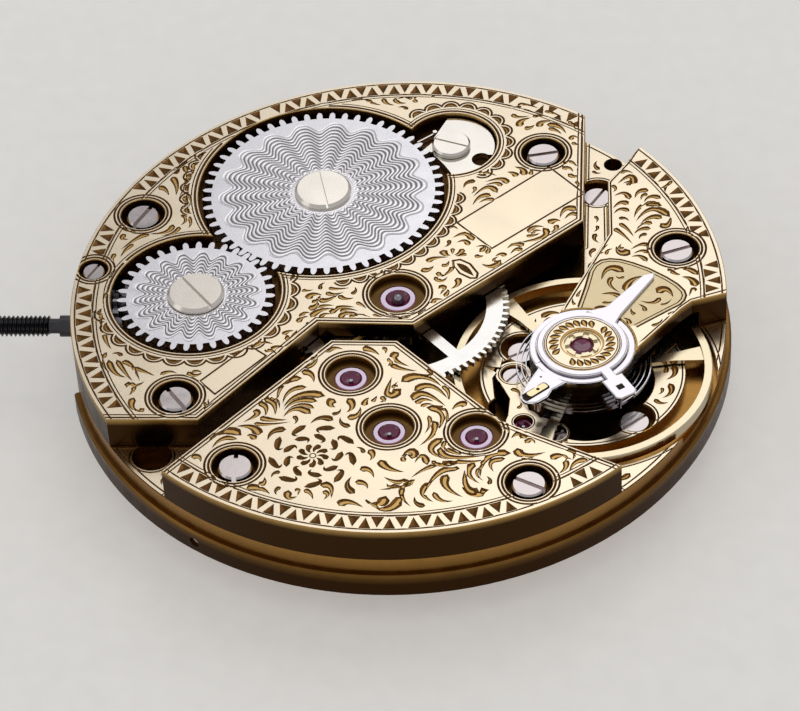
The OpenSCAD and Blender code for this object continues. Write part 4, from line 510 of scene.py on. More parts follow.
class Engraving:
    """A flat land with cuts in it: outlines and the floors of the cuts, which one triangulation joins."""

    def __init__(self):
        self.points = []
        self.edges = []
        self.depth = {}
        self.floor_edges = set()

    def path(self, line, closed, depth=None):
        """A line of the drawing; one with a depth, or a list of depths, is the floor of a cut."""
        first, count = len(self.points), len(line)
        self.points += [Vector(p) for p in line]
        for i in range(count if closed else count - 1):
            if depth is not None:
                self.floor_edges.add(len(self.edges))
            self.edges.append((first + i, first + (i + 1) % count))
        if depth is not None:
            for i in range(count):
                self.depth[first + i] = depth[i] if isinstance(depth, list) else depth

    def circle(self, at, radius, step):
        """The edge of a round land or opening."""
        self.path(ring(at, radius, step), True)

    def rims(self, radii, bevel, step):
        """Both edges of a flat ring round the balance, moved in by the bevel."""
        self.circle(BALANCE, radii[1] - bevel, step)
        self.circle(BALANCE, radii[0] + bevel, step)

    def polygon(self, plan, away, step):
        """The edge of a polygon, moved to its left."""
        self.path(dense(beside(plan, away, True), step, True), True)

    def line(self, line, width, depth, closed=False):
        """A cut of even width along a line."""
        if closed:
            self.path(beside(line, width / 2, True), True)
            self.path(beside(line, -width / 2, True), True)
            self.path(line, True, depth)
        else:
            self.path(beside(line, width / 2) + beside(line, -width / 2)[::-1], True)
            self.path(line[1:-1] if len(line) > 3 else line, False, depth)

    def ring(self, at, radius, width, depth, step=0.14):
        """A cut of even width round a circle."""
        self.line(ring(at, radius, step), width, depth, True)

    def comma(self, cut, depth, even=False, steps=9):
        """A swelling cut through three points; an even one is widest in its middle."""
        hx, hy, mx, my, tx, ty, width = cut
        cx, cy = 2 * mx - (hx + tx) / 2, 2 * my - (hy + ty) / 2
        middle, widths = [], []
        for i in range(steps + 1):
            t = i / steps
            pairs = ((hx, cx, tx), (hy, cy, ty))
            middle.append(tuple((1 - t) ** 2 * h + 2 * t * (1 - t) * c + t * t * e for h, c, e in pairs))
            if even:
                swell = math.sin(math.pi * t)
            else:
                # A round head within the first quarter, then a long taper
                head = math.sqrt(max(0.0, 1 - (1 - min(t, 0.25) / 0.25) ** 2))
                swell = min(1.0, head) * (1 - t) ** 0.8 * 1.25
            widths.append(width / 2 * swell)
        left, right = [], []
        for i in range(1, steps):
            (ax, ay), (x, y), (bx, by) = middle[i - 1 : i + 2]
            length = math.hypot(bx - ax, by - ay) or 1
            nx, ny = -(by - ay) / length, (bx - ax) / length
            left.append((x + nx * widths[i], y + ny * widths[i]))
            right.append((x - nx * widths[i], y - ny * widths[i]))
        self.path([middle[0]] + left + [middle[-1]] + right[::-1], True)
        self.path(middle[1:-1], False, [min(depth, widths[i] * 0.8) for i in range(1, steps)])

    def pit(self, corners, depth, share=0.12):
        """A pit with straight sides, whose floor is this share of it."""
        self.path(corners, True)
        x = sum(p[0] for p in corners) / len(corners)
        y = sum(p[1] for p in corners) / len(corners)
        self.path([((p[0] - x) * share + x, (p[1] - y) * share + y) for p in corners], True, depth)

    def mesh(self, shape, top, bottom, bevel):
        """Points, faces and finish numbers of the engraved land of a shape, with a bevelled skirt."""
        points, edges, faces, old_points, old_edges, _ = delaunay_2d_cdt(self.points, self.edges, [], 0, 1e-5)
        flat = np.array([(p.x, p.y) for p in points])
        depth = np.zeros(len(points))
        crossed = {v for edge, sources in zip(edges, old_edges) if self.floor_edges.intersection(sources) for v in edge}
        for i, sources in enumerate(old_points):
            known = [self.depth[s] for s in sources if s in self.depth]
            if known:
                depth[i] = max(known)
            elif not sources and i in crossed:
                depth[i] = 0.02
        triangles = np.array([f for f in faces if len(f) == 3])
        middle = flat[triangles].mean(1)
        triangles = triangles[shape(middle[:, 0], middle[:, 1]) < -bevel]
        a, b, c = (flat[triangles[:, i]] for i in range(3))
        area = (b[:, 0] - a[:, 0]) * (c[:, 1] - a[:, 1]) - (b[:, 1] - a[:, 1]) * (c[:, 0] - a[:, 0])
        triangles[area < 0] = triangles[area < 0][:, ::-1]
        triangles = triangles[np.abs(area) > 1e-9]
        depth[shape(flat[:, 0], flat[:, 1]) > -bevel - 1e-4] = 0
        # Finish 0 is the land, 1 a cut, 2 the skirt
        keys = [int(k) for k in (depth[triangles] > 0).any(1)]
        used, inverse = np.unique(triangles, return_inverse=True)
        flat, depth = flat[used], depth[used]
        out_points = [(x, y, top - d) for (x, y), d in zip(flat, depth)]
        out_faces = [tuple(t) for t in inverse.reshape(-1, 3).tolist()]
        sides = dict.fromkeys((face[i], face[(i + 1) % 3]) for face in out_faces for i in range(3))
        rim = [e for e in sides if (e[1], e[0]) not in sides]
        on_rim = sorted({v for e in rim for v in e})
        rx, ry = flat[on_rim, 0], flat[on_rim, 1]
        step = 0.004
        gx = shape(rx + step, ry) - shape(rx - step, ry)
        gy = shape(rx, ry + step) - shape(rx, ry - step)
        length = np.maximum(np.hypot(gx, gy), 1e-9)
        lower = {}
        for i, v in enumerate(on_rim):
            lower[v] = len(out_points)
            out_points.append((rx[i] + gx[i] / length[i] * bevel, ry[i] + gy[i] / length[i] * bevel, bottom))
        for a, b in rim:
            out_faces.append((b, a, lower[a], lower[b]))
            keys.append(2)
        return out_points, out_faces, keys


def scalloped(work, recess, start, end, chord=0.95):
    """Dark crescents in a row round a recess, under one continuous arched line."""
    at, radius = recess[0], recess[1] + 0.5
    count = max(1, round(math.radians(end - start) * radius / chord))
    arches = []
    for i in range(count):
        a0 = start + (end - start) * i / count
        a1 = start + (end - start) * (i + 1) / count
        gap = (a1 - a0) * 0.08
        ends = ((radius, a0 + gap), (radius + 0.22, (a0 + a1) / 2), (radius, a1 - gap))
        work.comma((*(v for r, a in ends for v in polar(at, r, math.radians(a))), 0.36), SCROLL, True, 8)
        for k in range(8 if i < count - 1 else 9):
            rise = radius + 0.16 + 0.36 * math.sin(math.pi * k / 8) ** 0.7
            arches.append(polar(at, rise, math.radians(a0 + (a1 - a0) * k / 8)))
    work.line(arches, 0.13, COLLAR)


def zigzag(work, shape):
    """The traditional zigzag of three-sided pits between two lines, along the movement's edge."""
    pitches = 86
    inner, outer = 16.82, 17.72
    for i in range(pitches):
        middle = 360 / pitches * i + 1.2
        for base, point, shift, half_base in ((inner, outer - 0.1, 0.0, 0.36), (outer, inner + 0.1, 0.5, 0.33)):
            angle = math.radians(middle + 360 / pitches * shift)
            half = half_base / base
            corners = [polar(CENTRE, r, a) for r, a in ((base, angle - half), (base, angle + half), (point, angle))]
            if (shape(*np.array(corners).T) < -0.06).all():
                work.pit(corners, GROOVE)
    for radius, width in ((17.75, 0.1), (16.78, 0.13), (16.58, 0.07)):
        work.ring(CENTRE, radius, width, HAIRLINE, 0.3)


def sown(work, shape, reach=18.0, away=0.15, sizes=((1.25, 0.44), (0.9, 0.35), (0.62, 0.27))):
    """Fills what is still bare with small scroll cuts, the largest that fit first, as the engraver closes a field."""
    cell, grid, half = 0.06, 0.2, reach + 0.3
    side = int(2 * half / cell) + 1
    xs = np.arange(side) * cell - half
    taken = shape(xs[:, None] + np.zeros(side), xs[None, :] + np.zeros((side, 1))) > -away - 0.12
    near = range(-int(away / cell) - 1, int(away / cell) + 2)
    stencil = [(i, j) for i in near for j in near if math.hypot(i, j) * cell <= away + 0.02]

    def cells(places):
        return ((places + half) / cell).round().astype(int)

    def mark(places):
        for step in stencil:
            k = cells(places) + step
            k = k[((k >= 0) & (k < side)).all(1)]
            taken[k[:, 0], k[:, 1]] = True

    ends = np.array([[(*work.points[a],), (*work.points[b],)] for a, b in work.edges])
    longest = np.hypot(*(ends[:, 1] - ends[:, 0]).T).max()
    for t in np.linspace(0, 1, int(longest / cell) + 2):
        mark(ends[:, 0] * (1 - t) + ends[:, 1] * t)
    order = random.Random(5)
    t = np.linspace(0, 1, 9)
    marks = np.arange(-reach, reach, grid)
    for length, width in sizes:
        places = [(x, y) for x in marks for y in marks if not taken[int((x + half) / cell), int((y + half) / cell)]]
        order.shuffle(places)
        forms = []
        for k in range(12):
            for bend in (0.26, -0.26):
                a = k * math.pi / 6 + 0.2
                along, across = t * length, 4 * bend * length * t * (1 - t)
                line = np.stack([along, across], 1) - (length / 2, bend * length / 2)
                body = np.concatenate([line, line + (0, width * 0.4), line - (0, width * 0.4)])
                turn = np.array([[math.cos(a), math.sin(a)], [-math.sin(a), math.cos(a)]])
                forms.append((body @ turn, np.array([line[0], line[4], line[8]]) @ turn))
        for place in places:
            order.shuffle(forms)
            for body, drawn in forms:
                k = cells(body + place)
                if not ((k < 0) | (k >= side)).any() and not taken[k[:, 0], k[:, 1]].any():
                    work.comma((*(drawn + place).ravel(), width), SCROLL)
                    mark(body + place)
                    break


def drawn_cuts(work, cuts, depth):
    """The commas of a table."""
    for x, y, mx, my, tx, ty, width in cuts:
        line = (x, y, x + mx, y + my, x + tx, y + ty)
        work.comma((*(v / 100 * DRAWN for v in line), width / 100 * CUT_WIDTH), depth)


def bridge_outline(work, plan, openings, bevel):
    """The bridge's own edges, moved in by the bevel."""
    work.circle(CENTRE, BRIDGE_EDGE - bevel, 0.2)
    work.polygon(plan, bevel * winding(plan), 0.6)
    for at, radius in openings:
        work.circle(at, radius + bevel, 0.12)


def border(work, line, cuts=((0.16, 0.13), (0.37, 0.09))):
    """Cuts along a straight edge: how far from it and how wide."""
    for away, width in cuts:
        work.line(dense(beside(line, away), 0.5), width, LINE)


def collar(work, at, radius):
    """Two rings round a sink."""
    for away, width in ((0.15, 0.14), (0.36, 0.13)):
        work.ring(at, radius + away, width, COLLAR)


def rosette(work, at, size, turns):
    """A plain rosette of paired scrolls round a small ring."""
    for k in range(turns):
        a = 2 * math.pi * k / turns + 0.3
        for inner, outer, swing, width in ((0.22, 0.8, 0.35, 0.34), (0.95, 1.5, -0.45, 0.36), (1.6, 2.2, 0.4, 0.38)):
            head = polar(at, size * inner, a + swing)
            middle = polar(at, size * (inner + outer) / 2, a + swing * 1.15)
            tail = polar(at, size * outer, a + swing * 0.2)
            work.comma((*tail, *middle, *head, width), GROOVE)
    work.ring(at, 0.16, 0.07, HAIRLINE, 0.05)


barrel_bridge_shape = bridge_shape(BARREL_BRIDGE_PLAN, BARREL_BRIDGE_OPENINGS)
train_bridge_shape = bridge_shape(TRAIN_BRIDGE_PLAN, TRAIN_BRIDGE_OPENINGS)
cock_shape = bridge_shape(COCK_PLAN, COCK_OPENINGS)


def draw_barrel_bridge(work, bevel):
    bridge_outline(work, BARREL_BRIDGE_PLAN, BARREL_BRIDGE_OPENINGS, bevel)
    border(work, [(-16, -9.8), (-10.2, -9.8), (-4.22, -2.32), (1, -2.46), (10.12, 5.9), (10.12, 18)])
    for at, radius in WHEEL_RECESSES:
        for away, width in ((0.17, 0.15), (0.37, 0.07)):
            # The border takes the place of these rings where a recess comes near the edge
            line = [p for p in ring(at, radius + away, 0.2, -200, 159) if math.hypot(*p) < 16.5]
            cut = max(range(len(line)), key=lambda i: math.dist(line[i], line[i - 1]))
            work.line(line[cut:] + line[:cut], width, GROOVE)
    for at, radius in SMALL_SINKS + SCREW_SINKS:
        collar(work, at, radius)
    barrel, crown, click = WHEEL_RECESSES
    scalloped(work, crown, -168, 35, 1.15)
    scalloped(work, barrel, -82, -2)
    scalloped(work, barrel, 154, 196, 1.0)
    scalloped(work, click, -62, 138)
    zigzag(work, barrel_bridge_shape)
    for corners in CARTOUCHES:
        work.line(dense(corners, 0.5, True), 0.12, LINE, True)
    work.line(LEAF_OUTLINE, 0.14, LINE, True)
    work.comma((3.15, 2.4, 3.6, 2.0, 4.15, 1.35, 0.42), GROOVE, True)
    drawn_cuts(work, BARREL_BRIDGE_CUTS, BROAD_LEAF)
    # The two cartouches stay bare
    sown(work, without(barrel_bridge_shape, plans=CARTOUCHES))


def draw_train_bridge(work, bevel):
    bridge_outline(work, TRAIN_BRIDGE_PLAN, TRAIN_BRIDGE_OPENINGS, bevel)
    border(work, [(16, -15), (6, -9.84), (0.15, -3.74), (-3.44, -3.69), (-12.96, -14.94)])
    for at, radius in TRAIN_BRIDGE_OPENINGS:
        collar(work, at, radius)
    zigzag(work, train_bridge_shape)
    rosette(work, (-3.9, -12.45), 1.05, 9)
    drawn_cuts(work, TRAIN_BRIDGE_CUTS, BROAD_LEAF)
    sown(work, train_bridge_shape)


def draw_cock(work, bevel):
    bridge_outline(work, COCK_PLAN, COCK_OPENINGS, bevel)
    for line in (
        [(13.6, 13.2), (12.54, 10.85), (11.46, 9.15), (11.55, 4.8), (8.75, -1.9)],
        [(13.25, -4.15), (15.5, -1.25), (16.1, -0.65), (19, 0.5)],
    ):
        border(work, line, ((0.15, 0.1),))
    collar(work, *COCK_OPENINGS[0])
    work.line(dense(COCK_PANEL), 0.12, LINE)
    work.line(dense(beside(COCK_PANEL, -0.2)), 0.07, HAIRLINE)
    zigzag(work, cock_shape)
    drawn_cuts(work, COCK_CUTS, LEAF)
    # The framed panel's ground stays open
    sown(work, without(cock_shape, plans=[COCK_PANEL]))


def pallet_bridge_plan(x, y, gap=0.0):
    """Distance from the pallet bridge's outline, grown by a gap."""
    discs = [from_circle(at, radius + gap, x, y) for at, radius in PALLET_BRIDGE_DISCS]
    return np.minimum.reduce(discs + [from_polygon(plan, x, y) - gap for plan in PALLET_BRIDGE_LIMBS])


pallet_bridge_shape = without(pallet_bridge_plan, PALLET_BRIDGE_OPENINGS)


def draw_pallet_bridge(work, bevel):
    for at, radius in PALLET_BRIDGE_DISCS:
        work.circle(at, radius - bevel, 0.1)
    for at, radius in PALLET_BRIDGE_OPENINGS:
        work.circle(at, radius + bevel, 0.1)
        work.ring(at, radius + 0.11, 0.07, HAIRLINE, 0.1)
    for plan in PALLET_BRIDGE_LIMBS:
        work.polygon(plan, bevel, 0.2)
    sown(work, pallet_bridge_shape, 12.0, 0.07, ((0.8, 0.28), (0.55, 0.22), (0.4, 0.16)))


def plate_shape(x, y):
    """The main plate's lands: what no well, sink or bridge takes, nor the groove that the balance turns in."""
    gap = 0.06
    balance = from_circle(BALANCE, 0, x, y)
    taken = [-from_ring(BALANCE_GROOVE, x, y), -np.maximum(from_polygon(WHEEL_WELL, x, y), BALANCE_GROOVE[1] - balance)]
    taken += [-from_circle(at, radius, x, y) for at, radius in PLATE_WELLS + PLATE_SINKS]
    taken += [-from_polygon(PALLET_WELL, x, y), -pallet_bridge_plan(x, y, 2 * gap)]
    taken += [gap - from_polygon(plan, x, y) for plan in (BARREL_BRIDGE_PLAN, TRAIN_BRIDGE_PLAN)]
    taken.append(gap - np.maximum(from_polygon(COCK_PLAN, x, y), 7.2 - balance))
    return np.maximum.reduce([from_circle(CENTRE, BRIDGE_EDGE, x, y)] + taken)


def draw_plate(work, bevel):
    for at, radius in PLATE_WELLS + PLATE_SINKS:
        work.circle(at, radius + bevel, 0.2)
    work.rims(BALANCE_GROOVE[::-1], bevel, 0.2)
    for radius in (5.42, 7.5):
        work.ring(BALANCE, radius, 0.09, LINE, 0.25)
    for at, radius in PLATE_SINKS[:3] + PLATE_SINKS[4:]:
        work.ring(at, radius + 0.16, 0.1, LINE)
    work.circle(CENTRE, BRIDGE_EDGE - bevel, 0.2)
    work.ring(CENTRE, 17.75, 0.1, LINE, 0.3)
    for plan in (BARREL_BRIDGE_PLAN, TRAIN_BRIDGE_PLAN, COCK_PLAN):
        outward = -winding(plan)
        work.polygon(plan, (0.06 + bevel) * outward, 0.4)
        work.line(dense(beside(plan, 0.22 * outward, True), 0.4, True), 0.08, HAIRLINE, True)
    for plan in (WHEEL_WELL, PALLET_WELL):
        work.polygon(plan, 0.04, 0.4)
    sown(work, plate_shape, away=0.1, sizes=((1.2, 0.4), (0.8, 0.3), (0.55, 0.22)))


def boss_shape(x, y):
    return from_ring(BOSS_RING, x, y)


def draw_boss(work, bevel):
    """Leaning commas round the cock's boss, with two plain gaps."""
    work.rims(BOSS_RING, bevel, 0.1)
    work.ring(BALANCE, 1.93, 0.06, HAIRLINE, 0.1)
    for k in range(24):
        angle = 360 / 24 * k + 4
        if not (205 < angle < 232 or 44 < angle < 56):
            places = ((1.83, 11), (1.58, 8), (1.25, 0))
            line = [v for radius, lean in places for v in polar(BALANCE, radius, math.radians(angle + lean))]
            work.comma((*line, 0.39), LEAF, True)


def turned_plan(corners, direction):
    """A plan drawn along a radius of the balance, set in its direction."""
    c, q = math.cos(math.radians(direction)), math.sin(math.radians(direction))
    return [(BALANCE[0] + x * c - y * q, BALANCE[1] + x * q + y * c) for x, y in corners]


POINTER = turned_plan([(2.2, -0.62), (2.2, 1.25), (3.1, 0.55), (6.3, 0.3), (6.8, -0.1), (6.5, -0.3), (3.1, -0.45)], 56)
CURB_SIDE = [(2.2, 0.3), (3.05, 0.3), (3.05, 0.62), (4.5, 0.62), (4.7, 0.42)]
CURB = turned_plan([(2.2, -0.3)] + CURB_SIDE + [(x, -y) for x, y in CURB_SIDE[:0:-1]], -58)
CURB_SLOT = turned_plan([(3.72, -0.2), (4.1, -0.2), (4.1, 0.2), (3.72, 0.2)], -58)
STUD_SIDE = -125
ARM_SIDE = [(2.75, 0.86), (3.6, 0.6), (4.2, 0.72), (4.9, 0.5), (5.2, 0.1)]
STUD_ARM = turned_plan([(2.75, -0.86)] + ARM_SIDE + [(5.15, -0.2), (4.9, -0.48), (4.2, -0.68)], STUD_SIDE)
# The arm's slot lies 14 degrees off the arm, open at its tip, and holds the stud's head
STUD_SLOT = turned_plan([(3.5, 0.37), (3.62, 0.46), (5.4, 0.02), (5.27, -0.54), (3.5, -0.1), (3.41, 0.04)], STUD_SIDE)
STUD_HEAD = turned_plan(
    [(3.57, 0.32), (3.66, 0.38), (4.73, 0.12), (4.8, 0.0), (4.77, -0.22), (4.66, -0.31), (3.6, -0.05), (3.51, 0.09)],
    STUD_SIDE,
)
STUD_EYE = turned_plan([polar((4.1, 0.04), 0.1, k * math.pi / 6) for k in range(12)], STUD_SIDE)
ARM_DIMPLE = turned_plan([polar((3.2, -0.42), 0.07, k) for k in range(6)], STUD_SIDE)
# The carrier's ring is slit beside its arm
RING_SLIT = turned_plan([(2.3, -1.12), (3.1, -1.5), (3.15, -1.4), (2.35, -1.0)], STUD_SIDE)


def both_edges(work, plans, bevel, step):
    """A line on each side of the polygons' edges."""
    for plan in plans:
        for away in (bevel, -bevel):
            work.polygon(plan, away, step)


def index_shape(x, y):
    d = from_ring(INDEX_RING, x, y)
    for plan in (POINTER, CURB):
        d = np.minimum(d, from_polygon(plan, x, y))
    return np.maximum(d, -from_circle(BALANCE, INDEX_RING[0], x, y))


def draw_index(work, bevel):
    work.rims(INDEX_RING, bevel, 0.08)
    work.circle(BALANCE, 2.22, 0.08)
    work.pit(dense(CURB_SLOT, 0.15, True), LINE, 0.8)
    both_edges(work, (POINTER, CURB), bevel, 0.2)


def carrier_shape(x, y):
    arm = np.maximum(from_polygon(STUD_ARM, x, y), -from_circle(BALANCE, 2.6, x, y))
    return np.maximum(np.minimum(from_ring(CARRIER_RING, x, y), arm), -from_polygon(RING_SLIT, x, y))


def draw_carrier(work, bevel):
    work.rims(CARRIER_RING, bevel, 0.08)
    work.pit(dense(STUD_SLOT, 0.15, True), HAIRLINE, 0.8)
    work.pit(ARM_DIMPLE, HAIRLINE, 0.5)
    both_edges(work, (STUD_ARM, RING_SLIT), bevel, 0.15)


def stud_head_shape(x, y):
    return from_polygon(STUD_HEAD, x, y)


def draw_stud_head(work, bevel):
    both_edges(work, (STUD_HEAD,), bevel, 0.15)
    work.pit(STUD_EYE, 0.015, 0.7)


def carved(name, body, slot, shape, draw, top, bottom, bevel, finishes=("land", "cut", "bridge"), panel=None):
    """An engraved or bevelled skin on one land; inside a panel the land takes the fourth finish."""
    work = Engraving()
    draw(work, bevel)
    points, faces, keys = work.mesh(shape, top, bottom, bevel)
    if panel:
        middle = np.array([np.mean([points[v][:2] for v in face], 0) for face in faces])
        inside = from_polygon(panel, middle[:, 0], middle[:, 1]) < 0
        keys = [3 if key == 0 and held else key for key, held in zip(keys, inside)]
    return mesh_piece(name, body, slot, points, faces, finishes, keys)


BRIDGES = (
    ("barrel_bridge_engraving", barrel_bridge_shape, draw_barrel_bridge, ("land", "cut", "bridge"), None),
    ("train_bridge_engraving", train_bridge_shape, draw_train_bridge, ("land", "cut", "bridge"), None),
    ("cock_engraving", cock_shape, draw_cock, ("land", "cut", "bridge", "panel"), COCK_PANEL),
)
INDEX_STEELS = ("index_steel", "slot_steel", "index_steel")
HEAD_METALS = ("head_brass", "slot_steel", "head_brass")
LOWER_LANDS = (
    ("plate_engraving", "movement", "plate", plate_shape, draw_plate, 2.54, 2.495, 0.04),
    ("pallet_bridge_engraving", "movement", "bridge", pallet_bridge_shape, draw_pallet_bridge, 2.455, 2.415, 0.03),
    ("index_bevelled", "regulator", "pale_steel", index_shape, draw_index, 4.735, 4.685, 0.05, INDEX_STEELS),
    ("carrier_bevelled", "stud_carrier", "pale_steel", carrier_shape, draw_carrier, 4.54, 4.495, 0.04, INDEX_STEELS),
    ("stud_head", "stud_carrier", "brass", stud_head_shape, draw_stud_head, 4.612, 4.49, 0.02, HEAD_METALS),
    ("boss_engraving", "movement", "bridge", boss_shape, draw_boss, 4.76, 4.715, 0.03),
)


def guilloche(name, body, at, inner, outer, phase, reach, pitch):
    """Wavy turned lines: a fine polar surface whose height follows waves pushed out and in by lobes."""
    settings = bpy.context.scene.movement_guilloche
    lobes, depth = settings.lobes, settings.depth / MM
    top = 4.38
    around = lobes * 20
    across = int((outer - inner) / (pitch / 9))
    points, faces, grooves = [], [], []
    for j in range(across + 1):
        share = j / across
        for i in range(around):
            theta = 2 * math.pi * i / around
            swing = math.cos(lobes * (theta - math.radians(phase)))
            # Round crests and narrow valleys, as the turning tool leaves them
            swing = 1 - 2 * ((1 - swing) / 2) ** 1.35
            limit = outer - reach + reach * swing
            r = inner + (limit - inner) * share
            wave = 0.5 + 0.5 * math.cos(2 * math.pi * (r - reach * swing * (0.6 + 0.4 * share) - inner) / pitch)
            groove = (1 - wave) ** 3 * min(1.0, share * 12, (1 - share) * 16)
            points.append((*polar(at, r, theta), top + 0.003 + depth * (1 - groove)))
            grooves.append(groove)
    turn = [(i, (i + 1) % around) for i in range(around)]
    for j in range(0, across * around, around):
        faces += [(j + i, j + around + i, j + around + k, j + k) for i, k in turn]
    base, last = len(points), across * around
    points += [(*points[start + i][:2], top - 0.01) for start in (0, last) for i in range(around)]
    grooves += [0.0] * 2 * around
    for i, k in turn:
        faces.append((i, k, base + k, base + i))
        faces.append((last + k, last + i, base + around + i, base + around + k))
    piece = mesh_piece(name, body, "wheel_steel", points, faces, ("turned_steel",), smooth=60)
    # The groove attribute drives painted shade: the finish turns grey in the troughs
    values = piece.data.attributes.new("groove", "FLOAT", "POINT")
    values.data.foreach_set("value", grooves)
    return piece


def turned(name, profile):
    """Turns a closed profile of (radius, height, finish) in mm about the upright axis with a Screw modifier."""
    keys = list(dict.fromkeys(key for _, _, key in profile))
    count = len(profile)
    mesh = bpy.data.meshes.new(name)
    mesh.from_pydata([(r * MM, 0, z * MM) for r, z, _ in profile], [(i, (i + 1) % count) for i in range(count)], [])
    for key in keys:
        mesh.materials.append(material(key))
    piece = linked(name, mesh)
    select(piece)
    bpy.ops.object.modifier_add(type="SCREW")
    screw = piece.modifiers[0]
    screw.steps = screw.render_steps = 64
    screw.use_merge_vertices, screw.merge_threshold = True, 1e-8
    bpy.ops.object.modifier_apply(modifier=screw.name)
    bpy.ops.object.mode_set(mode="EDIT")
    bpy.ops.mesh.select_all(action="SELECT")
    bpy.ops.mesh.remove_doubles(threshold=1e-7)
    bpy.ops.mesh.normals_make_consistent(inside=False)
    bpy.ops.object.mode_set(mode="OBJECT")
    # Each face takes the finish of the profile's nearest line
    middles = [((a[0] + b[0]) / 2 * MM, (a[1] + b[1]) / 2 * MM) for a, b in zip(profile, profile[1:] + profile[:1])]
    for face in piece.data.polygons:
        r, z = math.hypot(face.center.x, face.center.y), face.center.z
        nearest = min(range(count), key=lambda i: (middles[i][0] - r) ** 2 + (middles[i][1] - z) ** 2)
        face.material_index = keys.index(profile[nearest][2])
    bpy.ops.object.shade_smooth_by_angle(angle=math.radians(35))
    return piece


def stood(piece, places):
    """Moves a turned piece to the first place, copies it to the others and joins all."""
    pieces = [piece] + [linked(piece.name, piece.data.copy()) for _ in places[1:]]
    for each, at in zip(pieces, places):
        each.data.transform(Matrix.Translation((at[0] * MM, at[1] * MM, 0)))
    select(*pieces)
    if len(pieces) > 1:
        bpy.ops.object.join()
    return piece


def jewel_profile(radius, hole, low=3.76, high=4.14):
    """A hole jewel: flat polished rim with a chamfer, and an oil cup round the pivot."""
    cup = [(radius * 0.68, high), (radius * 0.62, high - 0.1), (radius * 0.4, high - 0.2), (hole, high - 0.26)]
    rim = [(radius, high - 0.05, "ruby_pink"), (radius - 0.07, high, "ruby_edge")]
    return [(hole, low, "ruby"), (radius, low, "ruby")] + rim + [(r, z, "ruby") for r, z in cup]


PLAIN_JEWEL = [(r, z, "ruby") for r, z in ((0.42, 0.7), (0.95, 0.7), (0.95, 1.1), (0.42, 1.1))]
# Each jewel's profile, its places and the node that it replaces
JEWELS = (
    ("train_jewels_turned", jewel_profile(0.9, 0.12), (THIRD, FOURTH, ESCAPE), ("upper_train_jewels",)),
    ("centre_jewel_turned", jewel_profile(1.01, 0.32), (CENTRE,), ("centre_jewels",)),
    ("lower_centre_jewel", PLAIN_JEWEL, (CENTRE,), ()),
)

STEM_HEIGHT = 2.05
STEM_TIP = -28.0
THREAD_PITCH = 0.25
THREAD_STEP = THREAD_PITCH / 8


def thread_radius(x, theta):
    """A sharp 60 degree thread, 0.15 mm deep, on 1.2 mm."""
    phase = (x / THREAD_PITCH + theta / (2 * math.pi)) % 1.0
    return 0.6 - 0.15 * min(1.0, max(0.0, 1.15 * (1 - abs(2 * phase - 1))))


def square_radius(x, theta):
    """The square, 0.7 mm across, with rounded corners."""
    return min(0.35 / max(abs(math.cos(theta)), abs(math.sin(theta))), 0.47)


# Places along the stem with their radii: thread, neck, body, setting lever's groove, body, square and pilot
STEM_RINGS = [(STEM_TIP + THREAD_STEP * i, thread_radius) for i in range(int(8.5 / THREAD_STEP) + 1)] + [
    (-19.49, 0.42), (-18.9, 0.42), (-18.89, 0.6), (-16.307, 0.6), (-16.3, 0.35), (-15.954, 0.35), (-15.947, 0.6),
    (-14.187, 0.6), (-14.177, square_radius), (-11.627, square_radius), (-11.62, 0.28), (-9.75, 0.28), (-9.677, 0.2),
]


def stem():
    """The long stem in one piece, in rings of points along its axis."""
    around = 32
    points, faces = [], []
    for x, radius in STEM_RINGS:
        for i in range(around):
            theta = 2 * math.pi * i / around
            r = radius(x, theta) if callable(radius) else radius
            points.append((x, r * math.cos(theta), STEM_HEIGHT + r * math.sin(theta)))
    for j in range(0, len(points) - around, around):
        for i in range(around):
            k = (i + 1) % around
            faces.append((j + around + i, j + around + k, j + k, j + i))
    faces += [tuple(range(around)), tuple(range(len(points) - 1, len(points) - 1 - around, -1))]
    return mesh_piece("stem_turned", "stem", "steel", points, faces, ("dark_steel",), nodes=("stem",), smooth=50)


def hairspring():
    """A flat ribbon wound in twelve turns, from the stud in to the collet."""
    turns, around = 12, 60
    outer, inwards, half, low, high = 3.8, 3.13, 0.025, 3.1, 3.3
    points, faces = [], []
    for i in range(turns * around + 1):
        t = i / (turns * around)
        theta = math.radians(STUD_SIDE + 360 * turns * t)
        r = outer - inwards * t
        for out, z in ((-half, low), (half, low), (half, high), (-half, high)):
            points.append((*polar(BALANCE, r + out, theta), z))
    for a in range(0, turns * around * 4, 4):
        faces += [(a + k, a + 4 + k, a + 4 + i, a + i) for i in range(4) for k in ((i + 1) % 4,)]
    faces += [(0, 1, 2, 3), tuple(range(len(points) - 1, len(points) - 5, -1))]
    return mesh_piece(
        "hairspring_ribbon", "stud_carrier", "spring", points, faces, ("spring",), nodes=("hairspring",), smooth=40
    )


class MovementCamera(PropertyGroup):
    azimuth: FloatProperty(
        name="Azimuth", description="Direction round the movement", default=math.radians(5), subtype="ANGLE"
    )
    elevation: FloatProperty(
        name="Elevation", description="Height above the bridges' plane", default=math.radians(43.23), subtype="ANGLE"
    )
    roll: FloatProperty(
        name="Roll", description="Turn about the line of sight", default=math.radians(-3.483), subtype="ANGLE"
    )
    distance: FloatProperty(
        name="Distance", description="From the middle of the bridges to the lens", default=0.2091, unit="LENGTH"
    )
    lens: FloatProperty(name="Lens", description="Focal length on a 36 mm sensor", default=171.5, unit="CAMERA")


class MovementLight(PropertyGroup):
    key: FloatProperty(name="Key", description="Power of the large soft box", default=0.235, unit="POWER")
    fill: FloatProperty(name="Fill", description="Power of each small soft box", default=0.06, unit="POWER")
    backdrop: FloatVectorProperty(
        name="Backdrop", description="Colour of the backdrop", default=(0.5, 0.5, 0.51), subtype="COLOR"
    )


